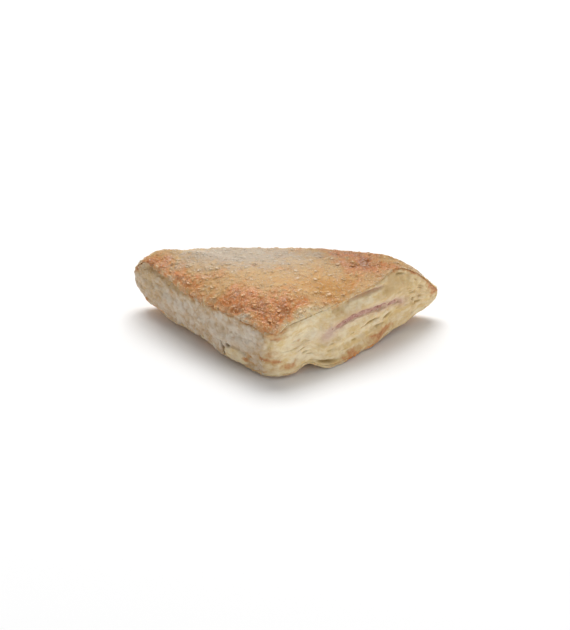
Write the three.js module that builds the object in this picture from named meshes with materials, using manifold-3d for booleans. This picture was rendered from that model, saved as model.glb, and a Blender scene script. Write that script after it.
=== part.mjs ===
// Turnover: a square of puff pastry folded over jam into a triangle, baked until it has puffed up,
// with coarse sugar on its crust. Lengths are in millimetres. +X runs along the fold, -Y points to the
// right-angled front corner and +Z is up. The pastry stands on the flat middle of its underside.
import * as THREE from 'three';
import { mergeVertices } from 'three/addons/utils/BufferGeometryUtils.js';
import Module from 'manifold-3d';

// ---------------------------------------------------------------------------
// Driving dimensions
// ---------------------------------------------------------------------------

// Plan: a right-angled triangle with its fold at the back and two cut sides, the legs, in front.
const FOLD_LENGTH = 166; // between the sharp ends of the fold
const DEPTH = 80; // from the fold to the sharp front corner
const CORNER_CUT = { front: 9, right: 4.5, left: 9.5 }; // how far each rounding reaches along the sides
const SIDE_BULGE = { right: 2.6, fold: 4, left: 3.5 }; // how far the middle of each side swells out
const MIDDLE = new THREE.Vector2(0, -31); // centre of the dome, in plan

// Heights of the crust's edge and of the dome.
const FRONT_HEIGHT = 27;
const FOLD_HEIGHT = 34.8;
const CROWN_HEIGHT = 38.5;

// Heights of the two pinched tips, and how far from its tip each of them takes hold.
const TIPS = {
  right: { top: { height: 16.2, reach: 15 }, bottom: { height: 12.2, reach: 9 } },
  left: { top: { height: 21.3, reach: 8.5 }, bottom: { height: 16, reach: 9 } },
};
const PINCH_SHARPNESS = { top: 1.35, bottom: 1.2 };
const EDGE_ROUNDING = 0.4; // least height of the lower edge above the table

// The sides: how far they round off, as a share of their height, and how close to their edges.
const FOLD_ROUNDING = { depth: 0.19, sharpness: 2.6 };
const CUT_ROUNDING = { depth: 0.045, sharpness: 5 };
const ROUNDED_OVER = 28; // distance from a tip over which the fold rounds off
const CUT_ENDS_OVER = 8; // distance past a tip over which the cut layers end
const DOME_ROUNDNESS = 2.4; // how late the dome falls off to the level of its edge
const SWELL_ROUNDNESS = 7; // how close to the edge its swells stay
const FLAT_SHARE = 0.62; // the underside is flat out to this share of the outline
const TIP_CURL = 0.15; // further share of the outline over which the tips begin to lift

// Crust: a lip that stands proud of the cut layers, with a hollow below it.
const LIP = { level: 0.965, proud: 0.9, half: 1.1, ragged: 0.6, tear: 4.5 };
const HOLLOW = { level: 0.87, depth: 0.8, half: 1.9 };

// Puffed sheets of dough that show as ledges on the cut sides.
const SHEETS = { count: 7, proud: 0.5, patch: 12 };

// Uneven bumps: on the sides, and two sizes on the dome.
const SIDE_BUMPS = { height: 0.35, width: 5 };
const DOME_BUMPS = { large: { height: 0.8, width: 13 }, small: { height: 0.35, width: 5.5 } };

// Jam: a lens between the two halves of the dough that comes out at the right leg.
const JAM = {
  inside: 0.68, // share of the outline that the lens fills where it stays hidden
  opensFrom: 22,
  opensTo: 94,
  opensOver: 12,
  edgeThickness: 2.5,
  endThickness: 0.8,
  middleThickness: 5.5,
  middleHeight: 17,
  setBack: 0.7, // how far the jam stops short of the cut face
};
const CLEARANCE = 0.35; // above and below the jam
const MARGIN = 0.9; // round the hidden edge of the jam
const BEYOND_FACE = 7; // how far the pocket runs out past the cut face
const JAM_LEVEL = [[26, 0.46], [36, 0.58], [47, 0.67], [60, 0.65], [74, 0.5], [90, 0.42]];

// Coarse sugar on the crust.
const SUGAR = { count: 84, largest: 1.25, smallest: 0.65, spacing: 6, reach: 0.94, sunk: 0.35, seed: 4217 };

// Mesh density.
const STEP = { cut: 3, fold: 6, fine: 1.6 };
const LENS_STEP = { cut: 4, fold: 14, fine: 5 };
const DOME_RINGS = [0.15, 0.3, 0.44, 0.57, 0.69, 0.79, 0.88, 0.95];
const SPARSE_INSIDE = 0.5; // inside this share of the outline the rings have half the points
const RINGS_PER_SHEET = 2;
const BASE_RINGS = [0.95, 0.87, 0.78, 0.7, FLAT_SHARE, 0.3];
const LENS_RINGS = [0.35, 0.7, 1];

// ---------------------------------------------------------------------------
// Small helpers
// ---------------------------------------------------------------------------

const clamp01 = (value) => Math.min(1, Math.max(0, value));
const ease = (value) => clamp01(value) ** 2 * (3 - 2 * clamp01(value));
const mix = (from, to, share) => from + (to - from) * share;
const bell = (distance, width) => Math.exp(-((distance / width) ** 2));
const between = (place, from, to, over) => ease((place - from) / over) * ease((to - place) / over);

// Value at a place along a list of [place, value] stations, eased from each one to the next.
function eased(stations, place) {
  if (place <= stations[0][0]) return stations[0][1];
  for (let i = 1; i < stations.length; i += 1) {
    const [start, startValue] = stations[i - 1];
    const [end, endValue] = stations[i];
    if (place <= end) return mix(startValue, endValue, ease((place - start) / (end - start)));
  }
  return stations[stations.length - 1][1];
}

// Random numbers between 0 and 1, the same on every run.
function randomFrom(seed) {
  let state = seed;
  return () => {
    state = (state * 1664525 + 1013904223) % 4294967296;
    return state / 4294967296;
  };
}

// Smooth uneven values between -1 and 1 on a lattice of unit cells.
function lattice(column, row) {
  const value = Math.sin(column * 127.1 + row * 311.7) * 43758.5453;
  return 2 * (value - Math.floor(value)) - 1;
}

function uneven(x, y) {
  const column = Math.floor(x);
  const row = Math.floor(y);
  const across = ease(x - column);
  const near = mix(lattice(column, row), lattice(column + 1, row), across);
  const far = mix(lattice(column, row + 1), lattice(column + 1, row + 1), across);
  return mix(near, far, ease(y - row));
}

// ---------------------------------------------------------------------------
// Plan outline, walked counter-clockwise from the middle of the front corner
// ---------------------------------------------------------------------------

const CORNERS = [
  { point: new THREE.Vector2(0, -DEPTH), cut: CORNER_CUT.front, bulge: SIDE_BULGE.right },
  { point: new THREE.Vector2(FOLD_LENGTH / 2, 0), cut: CORNER_CUT.right, bulge: SIDE_BULGE.fold },
  { point: new THREE.Vector2(-FOLD_LENGTH / 2, 0), cut: CORNER_CUT.left, bulge: SIDE_BULGE.left },
];

// The side that leaves a corner: where it starts, where it ends and what pulls its middle out.
function sideFrom(index) {
  const corner = CORNERS[index];
  const next = CORNERS[(index + 1) % CORNERS.length];
  const along = next.point.clone().sub(corner.point).normalize();
  const outwards = new THREE.Vector2(along.y, -along.x);
  const start = corner.point.clone().addScaledVector(along, corner.cut);
  const end = next.point.clone().addScaledVector(along, -next.cut);
  const pull = start.clone().lerp(end, 0.5).addScaledVector(outwards, 2 * corner.bulge);
  return { start, end, pull };
}

function outlinePath() {
  const sides = CORNERS.map((corner, index) => sideFrom(index));
  const path = new THREE.Path();
  path.moveTo(sides[2].end.x, sides[2].end.y);
  sides.forEach((side, index) => {
    const { point } = CORNERS[index];
    path.quadraticCurveTo(point.x, point.y, side.start.x, side.start.y);
    path.quadraticCurveTo(side.pull.x, side.pull.y, side.end.x, side.end.y);
  });
  return path;
}

const OUTLINE = outlinePath();
// Lengths walked to the ends of the front corner, right leg, right tip, fold, left tip and left leg.
const CURVE_ENDS = OUTLINE.getCurveLengths();
const PERIMETER = CURVE_ENDS[5];
const HALF_FRONT_CORNER = CURVE_ENDS[0] / 2;
const RIGHT_TIP = (CURVE_ENDS[1] + CURVE_ENDS[2]) / 2 - HALF_FRONT_CORNER;
const LEFT_TIP = (CURVE_ENDS[3] + CURVE_ENDS[4]) / 2 - HALF_FRONT_CORNER;

// Places on the outline, as a distance walked along it.
const onRight = (distance) => distance;
const onLeft = (distance) => PERIMETER - distance;
const onFold = (share) => mix(RIGHT_TIP, LEFT_TIP, share);

function outlinePoint(place) {
  const walked = THREE.MathUtils.euclideanModulo(place + HALF_FRONT_CORNER, PERIMETER);
  return OUTLINE.getPoint(walked / PERIMETER);
}

function outwardsAt(place) {
  const reach = 1.5;
  const along = outlinePoint(place + reach).sub(outlinePoint(place - reach)).normalize();
  return new THREE.Vector2(along.y, -along.x);
}

// Shortest way along the outline from one place to another, with its sign.
function gapTo(place, target) {
  const half = PERIMETER / 2;
  return THREE.MathUtils.euclideanModulo(place - target + half, PERIMETER) - half;
}

// Signed distance from the front corner: to the right along one leg, negative along the other.
const fromFront = (place) => gapTo(place, 0);

// 1 on the folded side and 0 on the cut legs, turning from one to the other over some distance.
const foldShare = (place, over) => between(place, RIGHT_TIP, LEFT_TIP, over);

// ---------------------------------------------------------------------------
// Swells that make each pastry uneven: [place, amount, width]
// ---------------------------------------------------------------------------

const CRUST_SWELLS = [
  [onRight(58), 1, 22], [onRight(82), 5, 13], [onRight(97), 1.5, 8], [onLeft(50), -1.6, 30],
  [onFold(0.17), 2.2, 18], [onFold(0.4), 2, 20], [onFold(0.64), 1.2, 24], [onFold(0.86), -0.8, 12],
];
const UNDERSIDE_SWELLS = [
  [onRight(0), 0.8, 12], [onRight(21), 2.8, 6], [onRight(52), 0.4, 8], [onRight(80), 2.6, 15],
  [onRight(99), 4.2, 9], [onLeft(22), 1.6, 10], [onLeft(47), 4.6, 14], [onLeft(66), 3, 10],
  [onLeft(86), 5.6, 11], [onLeft(100), 2.6, 10],
];
const FOOT_SWELLS = [
  [onRight(36), 6.2, 15], [onRight(60), 3, 14], [onRight(10), 1.5, 10], [onLeft(66), -2.2, 16],
];
const SHOULDER_SWELLS = [[onRight(84), -2.5, 12]];

function swell(list, place) {
  return list.reduce((sum, [target, amount, width]) => sum + amount * bell(gapTo(place, target), width), 0);
}

// Pulls a height towards what it is at the two pinched tips, by how near a point of the plan is to them.
function pinched(height, point, level) {
  let result = height;
  for (const [tip, place] of [[TIPS.right, RIGHT_TIP], [TIPS.left, LEFT_TIP]]) {
    const away = point.distanceTo(outlinePoint(place)) / tip[level].reach;
    result = mix(result, tip[level].height, Math.exp(-(away ** PINCH_SHARPNESS[level])));
  }
  return result;
}

// The plan point at a share of the way from the middle to a point at the edge.
function inwards(edge, share) {
  return new THREE.Vector2(edge.x, edge.y).sub(MIDDLE).multiplyScalar(share).add(MIDDLE);
}

// The crust: a dome that falls off to a slope at its edge, with swells that stay near the edge.
function crustHeight(place, share) {
  const edge = outlinePoint(place);
  const slope = mix(FRONT_HEIGHT, FOLD_HEIGHT, (edge.y + DEPTH) / DEPTH);
  const dome = mix(CROWN_HEIGHT, slope, share ** DOME_ROUNDNESS);
  const height = dome + swell(CRUST_SWELLS, place) * share ** SWELL_ROUNDNESS;
  return pinched(height, inwards(edge, share), 'top');
}

// The underside: flat in the middle, curling up to the lower edge and to the tips.
function undersideHeight(place, share) {
  const edge = EDGE_ROUNDING + swell(UNDERSIDE_SWELLS, place);
  const curl = edge * ease((share - FLAT_SHARE) / (1 - FLAT_SHARE));
  const lift = ease((share - FLAT_SHARE) / TIP_CURL);
  return lift * pinched(curl, inwards(outlinePoint(place), share), 'bottom');
}

// ---------------------------------------------------------------------------
// Relief of the cut faces
// ---------------------------------------------------------------------------

// Ledges (proud) and clefts (negative) between the sheets of dough. Each runs along a leg between two
// distances from the front corner, negative on the left leg, and rises from one share of the face's
// height to another.
const LEDGES = [
  { from: 24, to: 52, low: 0.9, high: 0.9, half: 1.7, proud: -1.5 },
  { from: 48, to: 84, low: 0.87, high: 0.84, half: 1.5, proud: -1.1 },
  { from: 30, to: 98, low: 0.79, high: 0.68, half: 2.6, proud: 1.1 },
  { from: 24, to: 94, low: 0.36, high: 0.62, half: 1.5, proud: 0.6 },
  { from: 26, to: 88, low: 0.33, high: 0.27, half: 1.5, proud: -0.8 },
  { from: 24, to: 74, low: 0.17, high: 0.13, half: 1.6, proud: -0.7 },
  { from: 4, to: 30, low: 0.62, high: 0.72, half: 1.8, proud: -0.5 },
  { from: -104, to: -56, low: 0.84, high: 0.88, half: 2.2, proud: -1 },
  { from: -100, to: -6, low: 0.6, high: 0.66, half: 1.7, proud: -0.5 },
  { from: -96, to: -12, low: 0.44, high: 0.4, half: 2.2, proud: 0.7 },
  { from: -60, to: -36, low: 0.2, high: 0.3, half: 1.8, proud: -0.7 },
];
const LEDGE_FADE = 8;

// On the left leg a crack runs up from the lower edge, and the dough beside it stands out as a flap.
const CRACK = { at: -33, half: 1.5, top: 0.34, depth: 2.2 };
const FLAP = { from: -32, to: -16, level: 0.2, half: 3, proud: 1.1, fade: 4 };

function ledgeRelief(distance, share, height) {
  let offset = 0;
  for (const { from, to, low, high, half, proud } of LEDGES) {
    const level = mix(low, high, clamp01((distance - from) / (to - from)));
    offset += proud * between(distance, from, to, LEDGE_FADE) * bell((share - level) * height, half);
  }
  const flap = between(distance, FLAP.from, FLAP.to, FLAP.fade);
  offset += FLAP.proud * flap * bell((share - FLAP.level) * height, FLAP.half);
  const crack = bell(distance - CRACK.at, CRACK.half) * ease((CRACK.top - share) * 8);
  return offset - CRACK.depth * crack;
}

function sheetRelief(place, share) {
  const wave = Math.cos(2 * Math.PI * SHEETS.count * share);
  return SHEETS.proud * wave * (0.75 + 0.6 * uneven(place / SHEETS.patch, SHEETS.count * share));
}

function lipRelief(place, share, height) {
  const ragged = 1 + LIP.ragged * uneven(place / LIP.tear, 3.5);
  const lip = LIP.proud * ragged * bell((share - LIP.level) * height, LIP.half);
  return lip - HOLLOW.depth * bell((share - HOLLOW.level) * height, HOLLOW.half);
}

function sideBumps(place, share, height) {
  const rise = SIDE_BUMPS.height * clamp01(height / 20);
  return rise * uneven(place / SIDE_BUMPS.width, share * SIDE_BUMPS.width + 11.5);
}

// ---------------------------------------------------------------------------
// The body: dome, sides and underside
// ---------------------------------------------------------------------------

// A point of the side, from its lower edge (share 0) to the edge of the crust (share 1).
function sidePoint(place, share) {
  const low = undersideHeight(place, 1);
  const height = crustHeight(place, 1) - low;
  const edge = Math.abs(2 * share - 1);
  const cut = CUT_ROUNDING.depth * edge ** CUT_ROUNDING.sharpness;
  const folded = FOLD_ROUNDING.depth * edge ** FOLD_ROUNDING.sharpness;
  let offset = -height * mix(cut, folded, foldShare(place, ROUNDED_OVER));
  offset += swell(FOOT_SWELLS, place) * (1 - share) ** 1.5;
  offset += swell(SHOULDER_SWELLS, place) * share ** 2;
  const layers = (1 - foldShare(place, CUT_ENDS_OVER)) * clamp01((height - 4) / 12);
  offset += layers * ledgeRelief(fromFront(place), share, height);
  offset += layers * (sheetRelief(place, share) + lipRelief(place, share, height));
  offset += sideBumps(place, share, height);
  const point = outlinePoint(place).addScaledVector(outwardsAt(place), offset);
  return new THREE.Vector3(point.x, point.y, low + height * share);
}

// Low bumps where the dough has puffed up unevenly.
function puff(point, share) {
  const { large, small } = DOME_BUMPS;
  const broad = large.height * uneven(point.x / large.width + 2.3, point.y / large.width);
  const fine = small.height * uneven(point.x / small.width, point.y / small.width + 7);
  return (broad + fine) * (1 - share ** 6);
}

// A point of the dome, from its middle (share 0) to the edge of the crust (share 1).
function domePoint(place, share) {
  const point = inwards(sidePoint(place, 1), share);
  return new THREE.Vector3(point.x, point.y, crustHeight(place, share) + puff(point, share));
}

// A point of the underside, from its middle to the lower edge.
function basePoint(place, share) {
  const point = inwards(sidePoint(place, 0), share);
  return new THREE.Vector3(point.x, point.y, undersideHeight(place, share));
}

// Distances along the outline, closer together on the cut legs and closest at the crack and the tips.
function stations(step) {
  const places = [];
  let place = 0;
  while (place < PERIMETER - step.fine / 2) {
    places.push(place);
    const toTip = Math.min(Math.abs(gapTo(place, RIGHT_TIP)), Math.abs(gapTo(place, LEFT_TIP)));
    const nearCrack = Math.abs(fromFront(place) - CRACK.at) < 4;
    const onTheFold = place > RIGHT_TIP && place < LEFT_TIP;
    const plain = onTheFold ? step.fold : step.cut;
    place += nearCrack ? step.fine : mix(step.fine, plain, ease(toTip / 14));
  }
  if (places.length % 2 === 1) places.pop();
  return places;
}

// Triangles between two rings, the upper one first. One of them may have half as many points.
function band(upper, lower) {
  const triangles = [];
  const size = Math.min(upper.length, lower.length);
  for (let i = 0; i < size; i += 1) {
    const next = (i + 1) % size;
    if (upper.length === lower.length) {
      triangles.push([upper[i], lower[i], lower[next]], [upper[i], lower[next], upper[next]]);
    } else {
      const fine = upper.length > lower.length ? upper : lower;
      const coarse = fine === upper ? lower : upper;
      const [from, middle, to] = [fine[2 * i], fine[2 * i + 1], fine[(2 * i + 2) % fine.length]];
      const [here, there] = [coarse[i], coarse[next]];
      const fan = [[here, from, middle], [here, middle, there], [there, middle, to]];
      triangles.push(...(fine === lower ? fan : fan.map((corners) => corners.toReversed())));
    }
  }
  return triangles;
}

// One closed body through rings of points, with a middle point above the first and below the last ring.
function loft(rings, first, last) {
  const positions = [first, ...rings.flat(), last].flatMap((point) => point.toArray());
  let count = 1;
  const numbered = rings.map((ring) => ring.map(() => count++));
  const top = numbered[0];
  const bottom = numbered[numbered.length - 1];
  const triangles = [
    ...top.map((corner, i) => [0, corner, top[(i + 1) % top.length]]),
    ...numbered.slice(1).flatMap((ring, i) => band(numbered[i], ring)),
    ...bottom.map((corner, i) => [count, bottom[(i + 1) % bottom.length], corner]),
  ];
  const geometry = new THREE.BufferGeometry();
  geometry.setAttribute('position', new THREE.Float32BufferAttribute(positions, 3));
  geometry.setIndex(triangles.flat());
  return geometry;
}

// Rings down the side, one on each ledge and one in each cleft, and one more on the lip.
function sideShares() {
  const last = SHEETS.count * RINGS_PER_SHEET;
  const shares = Array.from({ length: last }, (unused, ring) => 1 - (ring + 1) / last);
  return [1, LIP.level, ...shares];
}

function bodyGeometry() {
  const places = stations(STEP);
  const sparse = places.filter((place, i) => i % 2 === 0);
  const ring = (pointAt, share) =>
    (share < SPARSE_INSIDE ? sparse : places).map((place) => pointAt(place, share));
  const rings = [
    ...DOME_RINGS.map((share) => ring(domePoint, share)),
    ...sideShares().map((share) => places.map((place) => sidePoint(place, share))),
    ...BASE_RINGS.map((share) => ring(basePoint, share)),
  ];
  return loft(rings, domePoint(0, 0), basePoint(0, 0));
}

// ---------------------------------------------------------------------------
// Jam
// ---------------------------------------------------------------------------

// The lens of jam, or the pocket that holds it: thicker by the clearance, wider by the margin, and
// running out past the cut face where the jam shows.
function lensGeometry(clearance, margin, beyondFace) {
  const edges = stations(LENS_STEP).map((place) => {
    const distance = fromFront(place);
    const opening = between(distance, JAM.opensFrom, JAM.opensTo, JAM.opensOver);
    const spoke = outlinePoint(place).sub(MIDDLE);
    const face = sidePoint(place, eased(JAM_LEVEL, distance));
    const toFace = Math.hypot(face.x - MIDDLE.x, face.y - MIDDLE.y) - JAM.setBack;
    return {
      reach: mix(JAM.inside * spoke.length(), toFace, opening),
      grown: margin + beyondFace * opening,
      height: mix(JAM.middleHeight, face.z, opening),
      thickness: mix(JAM.endThickness, JAM.edgeThickness, opening ** 2),
      direction: spoke.normalize(),
    };
  });
  const ring = ({ share, growth }, side) =>
    edges.map(({ reach, grown, height, thickness: edgeThickness, direction }) => {
      const point = MIDDLE.clone().addScaledVector(direction, reach * share + grown * growth);
      const level = mix(JAM.middleHeight, height, share ** 2);
      const thickness = mix(JAM.middleThickness, edgeThickness, share ** 2);
      return new THREE.Vector3(point.x, point.y, level + side * (thickness / 2 + clearance));
    });
  const profile = LENS_RINGS.map((share) => ({ share, growth: 0 }));
  if (margin > 0) profile.push({ share: 1, growth: 1 });
  const rings = [
    ...profile.map((step) => ring(step, 1)),
    ...profile.toReversed().map((step) => ring(step, -1)),
  ];
  const half = JAM.middleThickness / 2 + clearance;
  const top = new THREE.Vector3(MIDDLE.x, MIDDLE.y, JAM.middleHeight + half);
  const bottom = new THREE.Vector3(MIDDLE.x, MIDDLE.y, JAM.middleHeight - half);
  return loft(rings, top, bottom);
}

// ---------------------------------------------------------------------------
// Coarse sugar
// ---------------------------------------------------------------------------

// Where the lumps lie on the dome and how large they are, the largest first.
function sugarLumps() {
  const random = randomFrom(SUGAR.seed);
  const lumps = [];
  for (let tries = 0; lumps.length < SUGAR.count && tries < 60 * SUGAR.count; tries += 1) {
    const at = domePoint(random() * PERIMETER, SUGAR.reach * Math.sqrt(random()));
    const free = lumps.every((lump) => lump.at.distanceTo(at) > SUGAR.spacing);
    const size = mix(SUGAR.largest, SUGAR.smallest, lumps.length / SUGAR.count);
    const turn = new THREE.Euler(6 * random(), 6 * random(), 6 * random());
    if (free) lumps.push({ at, size, turn });
  }
  return lumps;
}

function lumpGeometry({ at, size, turn }) {
  const crystal = new THREE.BoxGeometry(1.9 * size, 1.5 * size, 1.2 * size);
  const matrix = new THREE.Matrix4().makeRotationFromEuler(turn);
  matrix.setPosition(at.x, at.y, at.z + size * (0.5 - SUGAR.sunk));
  return crystal.applyMatrix4(matrix);
}

// ---------------------------------------------------------------------------
// Joining and cutting
// ---------------------------------------------------------------------------

const wasm = await Module();
wasm.setup();

function solidOf(geometry) {
  const bare = geometry.clone();
  bare.deleteAttribute('normal');
  bare.deleteAttribute('uv');
  const merged = mergeVertices(bare, 1e-5);
  return new wasm.Manifold(
    new wasm.Mesh({
      numProp: 3,
      vertProperties: new Float32Array(merged.attributes.position.array),
      triVerts: new Uint32Array(merged.index.array),
    }),
  );
}

function geometryOf(solid) {
  const mesh = solid.getMesh();
  const geometry = new THREE.BufferGeometry();
  geometry.setAttribute('position', new THREE.BufferAttribute(mesh.vertProperties, 3));
  geometry.setIndex(new THREE.BufferAttribute(mesh.triVerts, 1));
  geometry.computeVertexNormals();
  return geometry;
}

function pastrySolid() {
  const pocket = solidOf(lensGeometry(CLEARANCE, MARGIN, BEYOND_FACE));
  let solid = solidOf(bodyGeometry()).subtract(pocket);
  for (const lump of sugarLumps()) {
    solid = solid.add(solidOf(lumpGeometry(lump)));
  }
  return solid;
}

function namedMesh(name, geometry, color, roughness) {
  const material = new THREE.MeshStandardMaterial({ color, roughness, metalness: 0, flatShading: true });
  const mesh = new THREE.Mesh(geometry, material);
  mesh.name = name;
  return mesh;
}

// ---------------------------------------------------------------------------
// The turnover, with its origin under the middle of its box
// ---------------------------------------------------------------------------

const turnover = new THREE.Group();
turnover.add(namedMesh('pastry', geometryOf(pastrySolid()), '#c99b66', 0.75));
turnover.add(namedMesh('jam_filling', lensGeometry(0, 0, 0), '#a2595f', 0.3));

const box = new THREE.Box3().setFromObject(turnover, true);
const centre = box.getCenter(new THREE.Vector3());
turnover.position.set(-centre.x, -centre.y, -box.min.z);
turnover.updateMatrixWorld(true);

export default turnover;
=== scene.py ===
import math

import bpy
import numpy as np
from mathutils import Matrix, Vector


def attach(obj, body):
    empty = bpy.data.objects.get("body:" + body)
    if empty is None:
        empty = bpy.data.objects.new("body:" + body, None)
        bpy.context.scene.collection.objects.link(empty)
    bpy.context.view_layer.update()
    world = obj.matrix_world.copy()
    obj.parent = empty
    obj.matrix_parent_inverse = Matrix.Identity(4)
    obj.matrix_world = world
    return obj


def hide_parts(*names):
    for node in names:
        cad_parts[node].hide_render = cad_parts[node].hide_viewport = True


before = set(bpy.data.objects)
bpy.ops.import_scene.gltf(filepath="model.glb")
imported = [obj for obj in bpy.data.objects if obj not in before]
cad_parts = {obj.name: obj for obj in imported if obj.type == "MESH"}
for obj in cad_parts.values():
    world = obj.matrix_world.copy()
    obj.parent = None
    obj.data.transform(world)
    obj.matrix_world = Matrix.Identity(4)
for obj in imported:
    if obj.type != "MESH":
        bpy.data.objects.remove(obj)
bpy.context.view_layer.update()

MILLIMETRE = 0.001
FOLD_MIDDLE = (-0.897, 36.71, 0.0)  # where the middle of the fold lies in the part's frame

# ---- Form: plan, heights and roundings ----

FOLD_LENGTH = 166
DEPTH = 80
MIDDLE = np.array([0.0, -31.0])
CORNERS = (
    {"point": (0, -DEPTH), "cut": 9, "bulge": 2.6},
    {"point": (FOLD_LENGTH / 2, 0), "cut": 4.5, "bulge": 4},
    {"point": (-FOLD_LENGTH / 2, 0), "cut": 9.5, "bulge": 3.5},
)
FRONT_HEIGHT = 27
FOLD_HEIGHT = 34.8
CROWN_HEIGHT = 38.5
TIP_TOPS = {"right": (16.2, 15), "left": (21.3, 8.5)}  # height of each tip and how far it reaches
TIP_BOTTOMS = {"right": (12.2, 9), "left": (16, 9)}
TOP_SHARPNESS = 1.35
BOTTOM_SHARPNESS = 1.2
EDGE_ROUNDING = 0.4
FOLD_ROUNDING = (0.19, 2.6)  # share of the height that it takes off, and how sharply
CUT_ROUNDING = (0.045, 5)
ROUNDED_OVER = 28
DOME_ROUNDNESS = 2.4
SWELL_ROUNDNESS = 7
FLAT_SHARE = 0.62
TIP_CURL = 0.15

# Crust: how thick its edge is and how far it stands out over the cut layers. Stations along the outline
# are (signed distance from the front corner, value): the right leg is ahead of it, the left leg behind.
CRUST_EDGE = {"uneven": 0.5, "ragged": 0.3, "tear": 2.8, "most": 0.3}
SCALLOPS = {"length": 4.6, "proud": 1.3, "along": (-104, -8, 14)}
EDGE_THICKNESS = (
    (-112, 1.4), (-90, 2.2), (-50, 2.4), (-26, 1.5), (-9, 1.7), (-3, 3.9), (3, 3.9), (9, 1.4),
    (30, 1.0), (60, 0.9), (76, 0.7), (104, 0.7),
)
EDGE_OVERHANG = (
    (-112, 0.4), (-84, 0.7), (-56, 0.4), (-30, 0.2), (-12, 0.2), (5, 0.35), (11, -0.1), (38, -0.1),
    (48, 0.3), (104, 0.3),
)
EDGE_FULLNESS = 0.7  # how squarely the edges are rounded; 1 is a half circle
SOLE_EDGE = {"thickness": 1.1, "uneven": 0.3, "overhang": 0.15, "ragged": 0.25, "tear": 5.0, "most": 0.25}
SOLE_FOOT = {"at": 29, "half": 7, "proud": 1.3}
RECESS = 3.2  # how far the core lies behind the cut face
CUT_ENDS_OVER = 6  # distance past a tip over which the cut face gives way to the fold

# Leaves of dough that show on the cut faces, with thin gaps that open in places between them.
LEAVES = {"count": 14, "wander": 0.9, "reach": 0.45, "fine": 0.16}
GAPS = {"half": 0.3, "depth": 1.0, "bias": -0.1}
# Where the leaves part: (distance from the front, share of the height, half length, half height, amount).
PARTED = (
    (50, 0.33, 26, 4.5, 1.0), (92, 0.5, 14, 9, 0.9), (88, 0.9, 10, 2, 0.7), (17, 0.45, 11, 7, 0.6),
    (30, 0.12, 9, 2, 0.8), (-50, 0.35, 40, 6, 0.25),
)

JAM = {"inside": 0.68, "edge": 2.7, "end": 0.8, "middle": 5.5, "height": 17, "set_back": 0.1}
JAM_OPENS = (22, 91, 12)
JAM_LEVEL = ((24, 0.5), (38, 0.65), (46, 0.69), (53, 0.67), (60, 0.625), (67, 0.595), (75, 0.52), (86, 0.44))
SLIT = {"clearance": 0.25, "depth": 0.95}
SLIT_OPENS = (31, 88, 12)

# Coarse sugar, as on the solid.
SUGAR = {"count": 84, "largest": 1.25, "smallest": 0.65, "spacing": 6, "reach": 0.94, "tries": 60}
SUGAR_SEED = 4217
DOME_BUMPS = {"large": (0.8, 13), "small": (0.35, 5.5)}  # height and width
SIDE_BUMPS = (0.35, 5)


# ---- Helpers on numbers and arrays ----

def ease(value):
    held = np.clip(value, 0, 1)
    return held * held * (3 - 2 * held)


def mix(start, end, share):
    return start + (end - start) * share


def bell(distance, width):
    return np.exp(-((distance / width) ** 2))


def between(place, start, end, over):
    return ease((place - start) / over) * ease((end - place) / over)


def along(place, start, end):
    """Share of the way from start to end, held between 0 and 1."""
    return np.clip((place - start) / (end - start), 0, 1)


def eased(stations, place):
    """Value at a place along (place, value) stations, eased from each one to the next."""
    result = np.full(np.shape(place), float(stations[0][1]))
    for (start, start_value), (end, end_value) in zip(stations, stations[1:]):
        result += (end_value - start_value) * ease((place - start) / (end - start))
    return result


def lattice(column, row):
    value = np.sin(column * 127.1 + row * 311.7) * 43758.5453
    return 2 * (value - np.floor(value)) - 1


def uneven(x, y):
    """Smooth uneven values between -1 and 1 on unit cells. Shifts of x or y pick other values."""
    column, row = np.floor(x), np.floor(y)
    across = ease(x - column)
    near = mix(lattice(column, row), lattice(column + 1, row), across)
    far = mix(lattice(column, row + 1), lattice(column + 1, row + 1), across)
    return mix(near, far, ease(y - row))


def patch_sum(patches, across, up, unit_up=1.0):
    """Soft patches added up; unit_up is the length of one step of up."""
    total = 0
    for at, level, half_length, half_height, amount in patches:
        reach = ((across - at) / half_length) ** 2 + ((up - level) * unit_up / half_height) ** 2
        total = total + amount * np.exp(-reach)
    return total


def stretch_sum(stretches, distance):
    """Soft stretches of the outline added up, each (distance, half length, amount)."""
    return sum(amount * bell(distance - at, half_length) for at, half_length, amount in stretches)


def random_from(seed):
    """Random numbers between 0 and 1, the same on every run."""
    state = seed
    while True:
        state = (state * 1664525 + 1013904223) % 4294967296
        yield state / 4294967296


# ---- Plan outline, walked counter-clockwise from the middle of the front corner ----

def bezier(start, pull, end, count=400):
    share = np.linspace(0, 1, count)[:, None]
    return (1 - share) ** 2 * start + 2 * share * (1 - share) * pull + share**2 * end


def side_from(index):
    corner, following = CORNERS[index], CORNERS[(index + 1) % 3]
    point, target = np.array(corner["point"], float), np.array(following["point"], float)
    forwards = (target - point) / np.linalg.norm(target - point)
    outwards = np.array([forwards[1], -forwards[0]])
    start = point + forwards * corner["cut"]
    end = target - forwards * following["cut"]
    return start, (start + end) / 2 + outwards * 2 * corner["bulge"], end


def outline_points():
    """Points of the outline and the length walked to each of them and to the end of each curve."""
    sides = [side_from(index) for index in range(3)]
    curves = []
    for index, side in enumerate(sides):
        curves.append(bezier(sides[index - 1][2], np.array(CORNERS[index]["point"], float), side[0]))
        curves.append(bezier(*side))
    points = np.concatenate([curve[:-1] for curve in curves] + [curves[0][:1]])
    walked = np.concatenate([[0], np.cumsum(np.linalg.norm(np.diff(points, axis=0), axis=1))])
    ends = walked[np.cumsum([len(curve) - 1 for curve in curves])]
    return points, walked, ends


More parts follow.
